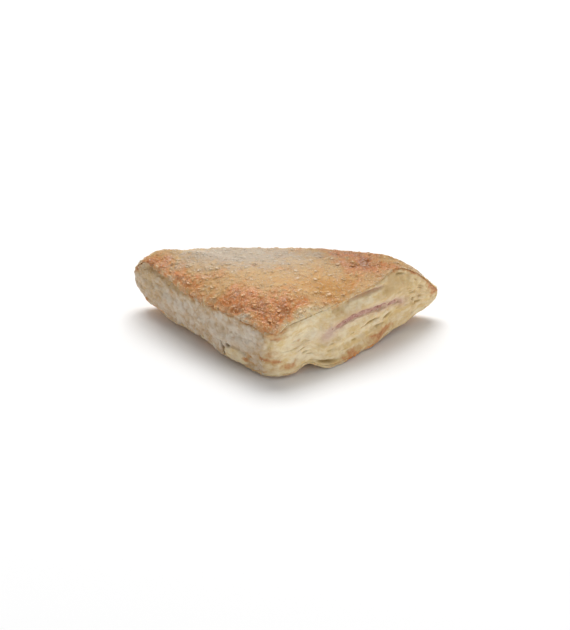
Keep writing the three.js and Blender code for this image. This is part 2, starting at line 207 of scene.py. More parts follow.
OUTLINE, WALKED, CURVE_ENDS = outline_points()
PERIMETER = WALKED[-1]
HALF_FRONT_CORNER = CURVE_ENDS[0] / 2
RIGHT_TIP = (CURVE_ENDS[1] + CURVE_ENDS[2]) / 2 - HALF_FRONT_CORNER
LEFT_TIP = (CURVE_ENDS[3] + CURVE_ENDS[4]) / 2 - HALF_FRONT_CORNER


def on_left(distance):
    return PERIMETER - distance


def on_fold(share):
    return mix(RIGHT_TIP, LEFT_TIP, share)


def outline_at(place):
    walked = np.mod(place + HALF_FRONT_CORNER, PERIMETER)
    return np.stack([np.interp(walked, WALKED, OUTLINE[:, axis]) for axis in (0, 1)], -1)


def outwards_at(place, reach=1.5):
    forwards = outline_at(place + reach) - outline_at(place - reach)
    forwards /= np.linalg.norm(forwards, axis=-1, keepdims=True)
    return np.stack([forwards[..., 1], -forwards[..., 0]], -1)


def gap_to(place, target):
    half = PERIMETER / 2
    return np.mod(place - target + half, PERIMETER) - half


def fold_share(place, over):
    """1 on the folded side and 0 on the cut legs."""
    return between(np.mod(place, PERIMETER), RIGHT_TIP, LEFT_TIP, over)


# Swells that make each pastry uneven: (place, amount, width).
CRUST_SWELLS = (
    (58, 1, 22), (60, 1.2, 11), (82, 5, 13), (97, 1.5, 8), (on_left(50), -1.6, 30),
    (on_fold(0.17), 2.2, 18), (on_fold(0.4), 2, 20), (on_fold(0.64), 1.2, 24), (on_fold(0.86), -0.8, 12),
)
UNDERSIDE_SWELLS = (
    (0, 1.7, 13), (20, 4.2, 6), (52, 0.4, 8), (80, 2.6, 15), (99, 4.2, 9), (on_left(22), 2.2, 10),
    (on_left(47), 5.4, 14), (on_left(66), 3, 10), (on_left(86), 5.6, 11), (on_left(100), 2.6, 10),
)
FOOT_SWELLS = ((36, 6.2, 15), (60, 3, 14), (10, 1.5, 10), (on_left(66), -2.2, 16))
SHOULDER_SWELLS = ((84, -2.5, 12),)


def swell(swells, place):
    return sum(amount * bell(gap_to(place, target), width) for target, amount, width in swells)


def pinched(height, points, tips, sharpness):
    """Pulls a height towards what it is at the two tips, by how near a point of the plan is to them."""
    for name, place in (("right", RIGHT_TIP), ("left", LEFT_TIP)):
        tip_height, reach = tips[name]
        away = np.linalg.norm(points - outline_at(place), axis=-1) / reach
        height = mix(height, tip_height, np.exp(-(away**sharpness)))
    return height


def inwards(edge, share):
    return MIDDLE + np.asarray(share)[..., None] * (edge - MIDDLE)


def crust_height(place, share):
    edge = outline_at(place)
    slope = mix(FRONT_HEIGHT, FOLD_HEIGHT, (edge[..., 1] + DEPTH) / DEPTH)
    dome = mix(CROWN_HEIGHT, slope, share**DOME_ROUNDNESS)
    height = dome + swell(CRUST_SWELLS, place) * share**SWELL_ROUNDNESS
    return pinched(height, inwards(edge, share), TIP_TOPS, TOP_SHARPNESS)


def underside_height(place, share):
    edge = EDGE_ROUNDING + swell(UNDERSIDE_SWELLS, place)
    curl = edge * ease((share - FLAT_SHARE) / (1 - FLAT_SHARE))
    lift = ease((share - FLAT_SHARE) / TIP_CURL)
    return lift * pinched(curl, inwards(outline_at(place), share), TIP_BOTTOMS, BOTTOM_SHARPNESS)


def puff(points, share):
    """Bumps of the dome, which fade towards its edge."""
    (large, large_width), (small, small_width) = DOME_BUMPS["large"], DOME_BUMPS["small"]
    x, y = points[..., 0], points[..., 1]
    broad = large * uneven(x / large_width + 2.3, y / large_width)
    fine = small * uneven(x / small_width, y / small_width + 7)
    return (broad + fine) * (1 - share**6)


# ---- Sides ----

# Broad ledges and clefts of the cut faces: (from, to, low share, high share, half height, proud).
LEDGES = (
    (32, 50, 0.93, 0.93, 1.2, -1.3),
    (40, 73, 0.98, 0.87, 0.75, -2.4),
    (4, 34, 1.0, 0.98, 1.6, 0.7),
    (-72, 8, 1.0, 0.98, 1.6, 0.5),
    (30, 98, 0.79, 0.68, 3.0, 1.5),
    (24, 94, 0.36, 0.62, 1.5, 0.6),
    (26, 88, 0.33, 0.27, 1.2, -0.8),
    (24, 74, 0.17, 0.13, 1.3, -0.8),
    (4, 30, 0.62, 0.72, 1.8, -0.4),
    (-104, -56, 0.86, 0.9, 2.0, -1.3),
    (-100, -6, 0.6, 0.66, 1.7, -0.4),
    (-96, -12, 0.44, 0.4, 2.2, 0.7),
    (-60, -36, 0.2, 0.3, 1.8, -0.6),
)
LEDGE_FADE = 8


def side_size(place):
    """Height of the lower edge and of the side above it."""
    low = underside_height(place, 1.0)
    return low, crust_height(place, 1.0) - low


def face_offset(place, share, height):
    """How far the side stands out from the plan outline, apart from its fine relief."""
    edge = np.abs(2 * share - 1)
    cut = CUT_ROUNDING[0] * edge ** CUT_ROUNDING[1]
    folded = FOLD_ROUNDING[0] * edge ** FOLD_ROUNDING[1]
    offset = -height * mix(cut, folded, fold_share(place, ROUNDED_OVER))
    offset = offset + swell(FOOT_SWELLS, place) * (1 - share) ** 1.5
    offset = offset + swell(SHOULDER_SWELLS, place) * share**2
    bumps = SIDE_BUMPS[0] * np.clip(height / 20, 0, 1)
    return offset + bumps * uneven(place / SIDE_BUMPS[1], share * SIDE_BUMPS[1] + 11.5)


def ledge_relief(distance, share, height):
    offset = 0
    for start, end, low, high, half, proud in LEDGES:
        level = mix(low, high, along(distance, start, end))
        shown = between(distance, start, end, LEDGE_FADE)
        offset = offset + proud * shown * bell((share - level) * height, half)
    return offset


def side_point(place, offset, level):
    point = outline_at(place) + outwards_at(place) * offset[..., None]
    return np.concatenate([point, np.broadcast_to(level, offset.shape)[..., None]], -1)


# ---- Colouring of the crust: where it is brown, white, golden or bare, and where painted shade darkens it ----

MOST_BROWN = 1.3
FAR_INSIDE = 60.0  # a distance from the edge at which nothing of the edge is left
# Browned band inside the crust's edge: strength and width.
BAND_STRENGTH = (
    (-112, 0.5), (-80, 0.39), (-50, 0.46), (-24, 0.85), (0, 0.95), (20, 0.6), (40, 0.6), (60, 0.45),
    (80, 0.4), (104, 0.5),
)
BAND_WIDTH = ((-112, 12), (-80, 16), (-40, 16), (-10, 20), (14, 21), (40, 16), (60, 11), (80, 16), (104, 20))
# Stretches of the edge: (distance from the front, half length, amount). The crust is paler where it bends
# over towards the nose, and elsewhere a narrow browned line follows its edge.
PALE_RIM = ((20, 13, 0.9), (58, 17, 1.0), (96, 12, 0.8))
BROWN_RIM = ((-56, 16, 0.35), (-84, 14, 0.8), (-36, 10, 0.35))
SOLE_BROWN = ((9, 6, 0.3), (46, 6, 0.8), (64, 8, 0.8), (-12, 8, 0.4), (-92, 14, 0.6))
# Pale dough runs over the edge on to the top: (distance from the front, half length, width).
BARE_RIM = ((22, 15, 4.6), (-15, 9, 3.2))
# How bare the underside of the crust's edge is.
EDGE_BARE = ((-112, 0.2), (-70, 0.1), (-20, 0.1), (2, 0), (16, 0.9), (44, 0.9), (66, 0.5), (78, 0), (104, 0))
# Patches on the crust: (x, y, half length, half depth, amount).
# Browned patches; those on the right back of the top, around x 39 to 60, are partly painted shade where the
# top turns away from the light.
BROWN_AND_SHADE_PATCHES = (
    (-12, -56, 16, 9, 0.2), (12, -50, 14, 8, -0.15), (-30, -46, 10, 7, 0.2), (46, -27, 14, 9, 0.45),
    (39, -14, 16, 10, 0.6), (60, -12, 12, 12, 0.1), (27, -43, 12, 7, -0.2), (-8, -43, 22, 6, -0.2),
    (-64, -14, 8, 6, 0.3), (30, -6, 24, 9, 0.33), (-16, -50, 9, 6, 0.3), (51, -17, 9, 6, 0.35),
    (-55, -18, 7, 5, 0.3), (0, -34, 22, 8, 0.12), (-62, -9, 6, 5, 0.35),
)
GOLD_PATCHES = ((27, -43, 14, 9, 1.0), (2, -44, 20, 6, 0.4), (-28, -40, 14, 7, 0.2), (44, -34, 12, 7, 0.3))
WHITE_PATCHES = (
    (-36, -14, 24, 14, 0.8), (-8, -14, 28, 15, 0.85), (20, -11, 14, 10, 0.3), (-4, -31, 30, 8, 0.2),
)
# Painted shade: patches where the crust's colour is darkened to stand for parts of the top that lie in less
# light.
PAINTED_SHADE_PATCHES = (
    (46, -14, 26, 20, 0.9), (24, -6, 18, 12, 0.8), (62, -20, 10, 8, 0.1), (-20, -16, 40, 10, 0.15),
    (-64, -10, 12, 8, 0.55),
)
BROWN_NOISES = ((0.34, 7, 0), (0.22, 3.1, 9))  # (amount, width, shift)
BARE_TIPS = {"left": 68, "right": 72, "over": 8, "amount": 0.8}  # how far from the middle they begin


def browning_and_shade(x, y, place, inset):
    """A band inside the edge, a narrow line on it and patches, some of which are painted shade, all broken
    up by two noises.
    """
    distance = gap_to(place, 0)
    band = eased(BAND_STRENGTH, distance) * bell(np.maximum(inset, 0), eased(BAND_WIDTH, distance))
    pale = stretch_sum(PALE_RIM, distance) * bell(inset, 5.0 + 1.5 * uneven(distance / 5, 3.7))
    narrow = stretch_sum(BROWN_RIM, distance) * bell(inset, 3.2 + 1.4 * uneven(distance / 4, 1.7))
    brown = band * (1 - 0.7 * fold_share(place, 20)) * (1 - pale) + patch_sum(BROWN_AND_SHADE_PATCHES, x, y) + narrow
    for amount, width, shift in BROWN_NOISES:
        brown = brown + amount * uneven(x / width + shift, y / width)
    return brown


def bare_strip(x, y, distance, inset, at, half_length, width):
    """Pale dough with a ragged border inside one stretch of the edge."""
    ragged = 1.4 * uneven(x / 2.1, y / 2.1 + at) + 1.6 * uneven(x / 5, y / 5 + at)
    strip = width * bell(distance - at, half_length) - inset + ragged
    return ease(strip / 8 + 0.3) * ease((inset + 8) / 4)


def crust_masks(points, place, inset):
    """What colours the crust, from a point's place in plan and its distance to the edge."""
    x, y = points[..., 0], points[..., 1]
    right_strip, left_strip = (bare_strip(x, y, gap_to(place, 0), inset, *stretch) for stretch in BARE_RIM)
    wander = 3 * uneven(x / 4, y / 4 + 3)
    at_right_tip = ease((x - 56 + wander) / 14)
    brown = browning_and_shade(x, y, place, inset) * (1 - 0.9 * np.maximum(right_strip, left_strip))
    white = patch_sum(WHITE_PATCHES, x, y) + 0.15 * uneven(x / 6 + 4, y / 6 + 1)
    white = np.maximum(np.maximum(white, 0.85 * left_strip), 0.55 * at_right_tip)
    tips = ease((-x - BARE_TIPS["left"] + wander) / BARE_TIPS["over"])
    tips = tips + ease((x - BARE_TIPS["right"] + wander) / BARE_TIPS["over"])
    return {
        "brown": np.clip(brown * (1 - 0.7 * at_right_tip), 0, MOST_BROWN),
        "gold": np.clip(patch_sum(GOLD_PATCHES, x, y), 0, 1),
        "white": np.clip(white, 0, 1),
        "bare": np.clip(np.maximum(BARE_TIPS["amount"] * tips, right_strip), 0, 1),
        "dull": np.clip(patch_sum(PAINTED_SHADE_PATCHES, x, y), 0, 1),
    }


# ---- Meshes ----

def add_values(mesh, name, values, kind="FLOAT"):
    """Keeps a named value, or three of them, on every point of a mesh."""
    layer = mesh.attributes.new(name, kind, "POINT")
    layer.data.foreach_set("value" if kind == "FLOAT" else "vector", np.ravel(values).astype(np.float32))


def values_of(mesh, name):
    values = np.zeros(len(mesh.vertices), np.float32)
    mesh.attributes[name].data.foreach_get("value", values)
    return values


def places_of(mesh):
    places = np.zeros(len(mesh.vertices) * 3, np.float32)
    mesh.vertices.foreach_get("co", places)
    return places.reshape(-1, 3)


def new_piece(name, mesh):
    mesh.name = name
    piece = bpy.data.objects.new(name, mesh)
    bpy.context.scene.collection.objects.link(piece)
    return piece


def piece_from(name, points, faces, fields=None):
    """A smooth mesh object with named values on its points."""
    mesh = bpy.data.meshes.new(name)
    mesh.from_pydata(np.asarray(points, float).tolist(), [], faces)
    for field, values in (fields or {}).items():
        add_values(mesh, field, values)
    mesh.polygons.foreach_set("use_smooth", [True] * len(mesh.polygons))
    mesh.update()
    return new_piece(name, mesh)


def ring_faces(upper, lower):
    """Faces between two closed rings of point numbers, the upper one first; one may have half as many."""
    if len(upper) == len(lower):
        return np.stack([upper, lower, np.roll(lower, -1), np.roll(upper, -1)], 1).tolist()
    fine, coarse = (upper, lower) if len(upper) > len(lower) else (lower, upper)
    following = np.roll(coarse, -1)
    start, middle, end = fine[0::2], fine[1::2], np.roll(fine[0::2], -1)
    fans = ((coarse, start, middle), (coarse, middle, following), (following, middle, end))
    turned = fans if fine is lower else [fan[::-1] for fan in fans]
    return [face for fan in turned for face in np.stack(fan, 1).tolist()]


def loft(rings, first, last):
    """Points and faces of a closed body through rings, with a middle point at each end."""
    points = np.concatenate([[first], *rings, [last]])
    starts = 1 + np.cumsum([0] + [len(ring) for ring in rings])
    numbered = [np.arange(start, start + len(ring)) for start, ring in zip(starts, rings)]
    top, bottom, end = numbered[0], numbered[-1], len(points) - 1
    faces = [[0, corner, following] for corner, following in zip(top.tolist(), np.roll(top, -1).tolist())]
    for upper, lower in zip(numbered, numbered[1:]):
        faces += ring_faces(upper, lower)
    following = np.roll(bottom, -1).tolist()
    faces += [[end, after, corner] for corner, after in zip(bottom.tolist(), following)]
    return points, faces


# ---- Crust: dome, ragged edge, recess behind the cut faces, fold and underside ----

CRUST_COLUMNS = 792  # a multiple of four
CRUST_ROWS = {"dome": 134, "edge": 9, "core": 3, "foot": 9, "sole": 16}
FOLD_DENSITY = 0.5  # columns along the fold, as a share of those along the legs
FOLD_INSET = 30  # how far inside the crust's edge the foot of the fold counts for its colours
SOLE_LOOK = {"brown": 0.5, "uneven": 0.3, "width": 9, "bare": 0.3}
STRETCH_MARKS = ((0.35, 14, 9, 0), (0.2, 5, 16, 3))  # on the fold: (height, length, turns, shift)
FOLD_BROWNS = ((0.3, 11, 3, 1.7), (0.25, 4, 7, 2.2))  # (amount, length, turns, shift)
SWELL_ROUND_LUMP = {"height": 0.42, "width": 1.2, "reach": 4}  # in lump sizes


def column_step(share):
    """Every column near the edge, then every second and every fourth towards the middle."""
    return 1 if share > 0.52 else 2 if share > 0.26 else 4


def column_places():
    """Where the columns stand along the outline: closer together on the cut legs than on the fold."""
    walk = np.linspace(0, PERIMETER, 4001)
    density = mix(1.0, FOLD_DENSITY, fold_share(walk, 8))
    counted = np.concatenate([[0], np.cumsum((density[1:] + density[:-1]) / 2)])
    return np.interp(np.arange(CRUST_COLUMNS) * counted[-1] / CRUST_COLUMNS, counted, walk)


def crust_thickness(place, height):
    ragged = CRUST_EDGE["uneven"] * (uneven(place / 6, 2.2) + 0.5 * uneven(place / 1.6, 6.2))
    thick = eased(EDGE_THICKNESS, gap_to(place, 0)) * (1 + ragged)
    return np.minimum(thick, CRUST_EDGE["most"] * height)


def tall(height):
    """0 where a side is too low for an edge that stands out, and 1 where it has its full height."""
    return ease((height - 4) / 9)


def scallops(place):
    """Rounded bumps of uneven length along the crust's edge."""
    walked = place / SCALLOPS["length"] + 0.35 * uneven(place / 7, 1.9)
    own_height = 0.65 + 0.35 * uneven(np.floor(walked) + 0.5, 4.5)
    bumps = np.abs(np.sin(math.pi * walked)) ** 0.7 * own_height - 0.3
    return SCALLOPS["proud"] * between(gap_to(place, 0), *SCALLOPS["along"]) * bumps


def crust_overhang(place, height):
    ragged = uneven(place / CRUST_EDGE["tear"], 3.5) + 0.5 * uneven(place / 1.3, 8.5)
    hang = eased(EDGE_OVERHANG, gap_to(place, 0)) + CRUST_EDGE["ragged"] * ragged + scallops(place)
    return hang * tall(height)


def sole_overhang(place, height):
    hang = SOLE_EDGE["overhang"] + SOLE_EDGE["ragged"] * uneven(place / SOLE_EDGE["tear"], 7.5)
    hang = hang + SOLE_FOOT["proud"] * bell(gap_to(place, 0) - SOLE_FOOT["at"], SOLE_FOOT["half"])
    return hang * tall(height)


def rounded_rows(rows, offset, hang, level, half):
    """Rows over a rounded edge, from its top to underneath it: (offset, level) of each."""
    angles = np.linspace(math.pi / 2, -math.pi / 2, rows)
    return [(offset + hang * math.cos(angle) ** EDGE_FULLNESS, level + half * math.sin(angle))
            for angle in angles]


def leg_side_rows(place):
    """Rows from the crust's edge to the sole's edge on a cut leg: (offset, level) of each."""
    low, height = side_size(place)
    top = low + height
    crust = crust_thickness(place, height)
    sole = SOLE_EDGE["thickness"] + SOLE_EDGE["uneven"] * uneven(place / 6, 5.1)
    sole = np.minimum(sole, SOLE_EDGE["most"] * height)
    upper, lower = face_offset(place, 1.0, height), face_offset(place, 0.0, height)
    core = []
    for share in np.linspace(0.93, 0.07, CRUST_ROWS["core"]):
        recess = RECESS * np.clip(height / 12, 0.2, 1)
        core.append((face_offset(place, share, height) - recess, mix(low + sole, top - crust, share)))
    edge = rounded_rows(CRUST_ROWS["edge"], upper, crust_overhang(place, height), top - crust / 2, crust / 2)
    foot = rounded_rows(CRUST_ROWS["foot"], lower, sole_overhang(place, height), low + sole / 2, sole / 2)
    return edge + core + foot


def fold_side_rows(place, count):
    """The same number of rows on the folded side, with the leaves showing as faint stretch marks."""
    low, height = side_size(place)
    rows = []
    for share in np.linspace(1, 0, count):
        marks = sum(size * uneven(place / length, share * turns + shift)
                    for size, length, turns, shift in STRETCH_MARKS)
        marks = marks * min(1, 6 * share * (1 - share) + 0.2)
        tear = bell(share - 0.46 - 0.05 * uneven(place / 25, 1.5), 0.03) * ease(uneven(place / 16, 4.5) * 2)
        rows.append((face_offset(place, share, height) + marks - 0.9 * tear, low + height * share))
    return rows


def crust_side_rows(place):
    """Rows down the sides, where each cut leg goes over into the fold."""
    legs = leg_side_rows(place)
    fold = fold_side_rows(place, len(legs))
    at_fold = fold_share(place, CUT_ENDS_OVER)
    return [(mix(a, c, at_fold), mix(b, d, at_fold)) for (a, b), (c, d) in zip(legs, fold)]


def swollen(flat, lumps):
    """Rise of the crust round the lumps of sugar that lie in it."""
    rise = np.zeros(flat.shape[:-1])
    for lump in lumps:
        away = ((flat - lump["at"][:2]) ** 2).sum(-1)
        near = away < (SWELL_ROUND_LUMP["reach"] * lump["size"]) ** 2
        width = SWELL_ROUND_LUMP["width"] * lump["size"]
        rise[near] += SWELL_ROUND_LUMP["height"] * lump["size"] * np.exp(-away[near] / width**2)
    return rise


def crust_looks(points, place, inset, rough=None, more_brown=0.0, least_bare=0.0):
    """The colour masks of a row, and how rough its relief is."""
    looks = crust_masks(points, place, inset)
    looks["brown"] = np.clip(looks["brown"] + more_brown, 0, MOST_BROWN)
    looks["bare"] = np.maximum(looks["bare"], least_bare)
    if rough is None:
        rough = np.clip(0.7 + 0.3 * looks["brown"] - 0.3 * looks["gold"] - 0.5 * looks["bare"], 0.3, 1)
    looks["rough"] = np.broadcast_to(rough, place.shape)
    return looks


def dome_rows(place, rim, lumps):
    """Points and looks of each row of the dome, from its middle outwards."""
    edge_reach = np.linalg.norm(outline_at(place) - MIDDLE, axis=-1)
    for share in np.linspace(1 / CRUST_ROWS["dome"], 1, CRUST_ROWS["dome"], endpoint=False):
        chosen = slice(None, None, column_step(share))
        flat = inwards(rim[chosen, :2], share)
        level = crust_height(place[chosen], share) + puff(flat, share) + swollen(flat, lumps)
        points = np.column_stack([flat, level])
        yield points, crust_looks(points, place[chosen], (1 - share) * edge_reach[chosen])


def side_rows(place, side):
    """Points and looks of each row down the sides: crust's edge, hidden core and sole's edge, or fold."""
    distance = gap_to(place, 0)
    at_fold = fold_share(place, CUT_ENDS_OVER)
    sole_brown = stretch_sum(SOLE_BROWN, distance)
    for row, (offset, level) in enumerate(side):
        points = side_point(place, offset, level)
        down = row / (len(side) - 1)
        under = 1.0 if row >= CRUST_ROWS["edge"] else 0.0
        fold_brown = sum(amount * uneven(place / length, down * turns + shift)
                         for amount, length, turns, shift in FOLD_BROWNS)
        fold_brown = fold_brown - 0.9 * ease(down * 3) * patch_sum(BROWN_AND_SHADE_PATCHES, points[:, 0], points[:, 1])
        low_brown = at_fold * 0.55 * ease((down - 0.45) * 3) + (1 - at_fold) * under * sole_brown
        edge_bare = eased(EDGE_BARE, distance) * ease((row - 2 + 2 * uneven(place / 3, 4.4)) / 4)
        bare = (1 - at_fold) * mix(edge_bare, 1 - ease(sole_brown * 1.5), under)
        inset = mix(FAR_INSIDE * under, FOLD_INSET * down, at_fold)
        rough = mix(0.6, 1.0, at_fold)
        yield points, crust_looks(points, place, inset, rough, low_brown + at_fold * fold_brown, bare)


def sole_rows(place, rim):
    """Points and looks of each row of the underside, from its edge inwards."""
    for share in np.linspace(1, 0, CRUST_ROWS["sole"], endpoint=False)[1:]:
        chosen = slice(None, None, 1 if share > 0.9 else column_step(0.5 * share))
        flat = inwards(rim[chosen, :2], share)
        brown = SOLE_LOOK["brown"] + SOLE_LOOK["uneven"] * uneven(*(flat / SOLE_LOOK["width"]).T)
        looks = {"brown": np.clip(brown, 0, MOST_BROWN), "bare": SOLE_LOOK["bare"]}
        looks |= {"gold": 0.0, "white": 0.0, "dull": 0.0}
        looks["rough"] = 0.15 + ease((share - FLAT_SHARE) / 0.3) * 0.45
        points = np.column_stack([flat, underside_height(place[chosen], share)])
        yield points, {name: np.broadcast_to(value, len(flat)) for name, value in looks.items()}


def crust_piece(lumps):
    place = column_places()
    side = crust_side_rows(place)
    rim, foot = side_point(place, *side[0]), side_point(place, *side[-1])
    rows = [*dome_rows(place, rim, lumps), *side_rows(place, side), *sole_rows(place, foot)]
    rings, looks = zip(*rows)
    points, faces = loft(rings, [*MIDDLE, CROWN_HEIGHT + puff(MIDDLE, 0.0)], [*MIDDLE, 0.0])
    fields = {}
    for name in looks[0]:
        values = [look[name] for look in looks]
        fields[name] = np.concatenate([[values[0].mean()], *values, [values[-1].mean()]])
    return piece_from("pastry_crust", points, faces, fields)


# ---- Cut layers: a ribbon along both legs whose face is made of the edges of many leaves ----

RIBBON = {"past_tip": 9, "columns": 640, "rows": 146, "depth": 3.6}
RIBBON_END = {"depth": 1.6, "from": 4.5}  # the ribbon sinks in past the tips
# How far down the crust's edge the leaves end, as a share of its thickness.
UNDER_CRUST = (
    (-112, 0.5), (-60, 0.5), (-30, 0.25), (-12, 0.3), (5, 0.5), (11, 0.2), (38, 0.2), (50, 0.4),
    (76, 0.2), (104, 0.2),
)
TUCK = {"depth": 0.8, "over": 1.3, "less": (7, 46, 8)}
# How much the leaves stand out unevenly.
OPENNESS = ((-110, 0.5), (-96, 0.2), (-40, 0.08), (-8, 0.1), (8, 0.28), (24, 0.5), (60, 1.0), (104, 1.0))
SMOOTH_BAND = {"along": (34, 92, 14), "levels": (0.8, 0.7), "half": 3.2}
# Wrinkles that run out from a point of a cut face: (distance, share, reach, amount).
CRUMPLES = ((85, 0.6, 24, 0.9), (-5, 0.42, 28, 0.4))
# On the left leg a crack runs up from the lower edge, and the dough beside it stands out as a tongue.
CRACK = {"at": -29.5, "lean": -4.0, "half": 0.95, "top": 0.34, "depth": 3.4}
TONGUE = {"at": -21.5, "level": 0.17, "length": 8.0, "height": 4.2, "proud": 1.4}
# Short tears: (distance, share of the height, half length, half height, amount).
TEARS = (
    (-27.3, 0.3, 1.7, 0.7, 1.0), (72, 0.35, 2.8, 0.55, 0.9), (83.5, 0.91, 3, 0.5, 0.7),
    (94, 0.34, 3, 0.5, 0.7), (29.5, 0.1, 5.5, 0.8, 1.0), (61, 0.43, 3.2, 0.5, 0.7),
    (65, 0.3, 2.6, 0.5, 0.6),
)
TEAR_DEPTH = 1.5

# Patches on the cut faces: (distance from the front, share of the height, half length, half height, amount).
# Toasted patches. Those just under the crust's edge at 39 to 41 mm on the right leg and at -65 mm on the
# left leg are painted shade under the overhang.
LAYER_BROWN_AND_SHADE = (
    (0, 0.86, 6, 3.0, 0.55), (7, 0.8, 5, 1.2, 0.7), (5, 0.95, 7, 2, 0.4), (0, 0.5, 5, 5.5, 0.6),
    (2, 0.1, 8, 2.4, 0.2), (0, 0.28, 9, 3, 0.12), (-3, 0.36, 3.4, 0.9, 1.0), (3.5, 0.33, 2.4, 0.8, 0.9),
    (-13, 0.3, 2, 1.4, 0.9), (-15, 0.2, 2.4, 1.2, 1.0), (-11, 0.16, 3, 1.0, 0.6), (-4, 0.08, 4, 1.0, 0.7),
    (9, 0.19, 6, 2.1, 1.0), (15, 0.62, 2, 0.8, 0.8), (19, 0.45, 2, 0.8, 0.5), (45, 0.06, 8, 3.8, 1.0),
    (65, 0.12, 8, 3.8, 1.05), (73, 0.14, 6, 2.6, 0.6), (34, 0.03, 6, 2.0, 0.5), (41, 0.86, 6, 1.2, 0.3),
    (39, 0.95, 6, 1.6, 0.7), (107, 0.76, 4.4, 4.6, 1.1), (-65, 0.9, 18, 3, 0.6), (-71, 0.72, 1.6, 1, 0.9),
    (-64, 0.66, 1.6, 1, 0.8), (-106, 0.8, 6, 3, 0.7), (-30, 0.95, 22, 2, 0.3),
)
# Tan patches. Those at the right tip, where the face turns away from the light, and under the crust's edge
# on the left leg are painted shade; the streaks near 38 to 47 mm are the dough's own tan.
LAYER_TAN_AND_SHADE = (
    (92, 0.5, 15, 16, 0.6), (77, 0.84, 8, 5.5, 1.1), (72, 0.74, 8, 3, 0.5), (47, 0.78, 7, 1.6, 0.4),
    (38, 0.8, 9, 3, 0.4), (60, 0.2, 22, 4, 0.35), (-96, 0.8, 10, 8, 0.75), (-84, 0.86, 12, 5, 0.6),
    (-90, 0.4, 14, 6, 0.5), (-66, 0.88, 14, 3.5, 0.8), (-12, 0.25, 9, 6, 0.35),
)
LAYER_WHITE = (
    (26, 0.66, 10, 5, 0.4), (17, 0.5, 6, 4, 0.3), (-20, 0.6, 18, 9, 0.5), (-60, 0.5, 30, 9, 0.5),
    (58, 0.84, 12, 2, 0.15),
)
COATED_FROM = (-6, 6)  # flour and sugar coat the left leg, up to this distance from the front


def leaf_relief(place, share, height):
    """Leaves that stand out unevenly, and thin gaps that open in places between them."""
    level = share * height
    distance = gap_to(place, 0)
    spacing = height / LEAVES["count"]
    turn = level / spacing
    relief = LEAVES["reach"] * uneven(place / 6, turn * 0.8)
    relief = relief + LEAVES["fine"] * uneven(place / 2.2, turn * 1.5 + 5)
    tint = uneven(place / 16, turn * 0.9 + 20)
    parted = np.clip(patch_sum(PARTED, distance, share, height), 0, 1)
    gaps = 0
    for leaf in range(1, LEAVES["count"]):
        wander = LEAVES["wander"] * uneven(place / 34 + leaf * 3.1, leaf * 7.7)
        middle = leaf * spacing + (wander + 0.3 * uneven(place / 5 + leaf, leaf * 2.3)) * (height / 27)
        open_here = parted * ease(1.3 * uneven(place / 3.4 + leaf * 1.7, leaf * 5.3) + GAPS["bias"])
        half = GAPS["half"] * (0.8 + 0.5 * open_here)
        gaps = np.maximum(gaps, open_here * bell(level - middle, half))
    return relief * eased(OPENNESS, distance) - GAPS["depth"] * gaps, tint, gaps


def crumpled(distance, share, height):
    relief = 0
    for at, level, reach, amount in CRUMPLES:
        across, up = distance - at, (share - level) * height
        radius = np.hypot(across, up) + 0.01
        strength = amount * ease((radius - 1) / 4) * ease((reach - radius) / 9)
        relief = relief + strength * uneven(4 * across / radius + at, 4 * up / radius + radius / 9)
    return relief * ease(9 * share * (1 - share))


def jam_level(distance):
    return eased(JAM_LEVEL, distance)


def jam_thickness(distance, opening):
    """Thickness of the jam's line, which gets thinner towards the right tip."""
    return mix(JAM["end"], JAM["edge"] * (1 - 0.45 * ease((distance - 60) / 26)), opening)


def slit_depth(distance, share, height):
    """The groove in the cut face from which the jam comes out."""
    opening = between(distance, *SLIT_OPENS)
    half = jam_thickness(distance, opening) / 2 + SLIT["clearance"]
    half = half * (1 + 0.3 * uneven(distance / 4, 3.3) + 0.25 * uneven(distance / 1.4, 9.1))
    away = np.abs((share - jam_level(distance)) * height + 0.4 * uneven(distance / 5, 1.5))
    return SLIT["depth"] * opening * (1 - ease((away - half) / 0.7 + 0.5))


def torn_tongue(distance, share, height):
    """The crack with the tongue beside it and the short tears, and how much shade is painted inside them."""
    line = CRACK["at"] + CRACK["lean"] * (share / CRACK["top"]) ** 2
    crack = bell(distance - line, CRACK["half"] * (1.4 - 2.4 * share)) * ease((CRACK["top"] - share) * 12)
    reach = ((distance - TONGUE["at"]) / TONGUE["length"]) ** 2
    reach = reach + ((share - TONGUE["level"]) * height / TONGUE["height"]) ** 2
    tongue = 1 - ease((np.sqrt(reach) - 0.8) / 0.35)
    tears = patch_sum(TEARS, distance, share, height)
    relief = TONGUE["proud"] * tongue - CRACK["depth"] * crack - TEAR_DEPTH * tears
    return relief, ease(1.7 * crack) + tears


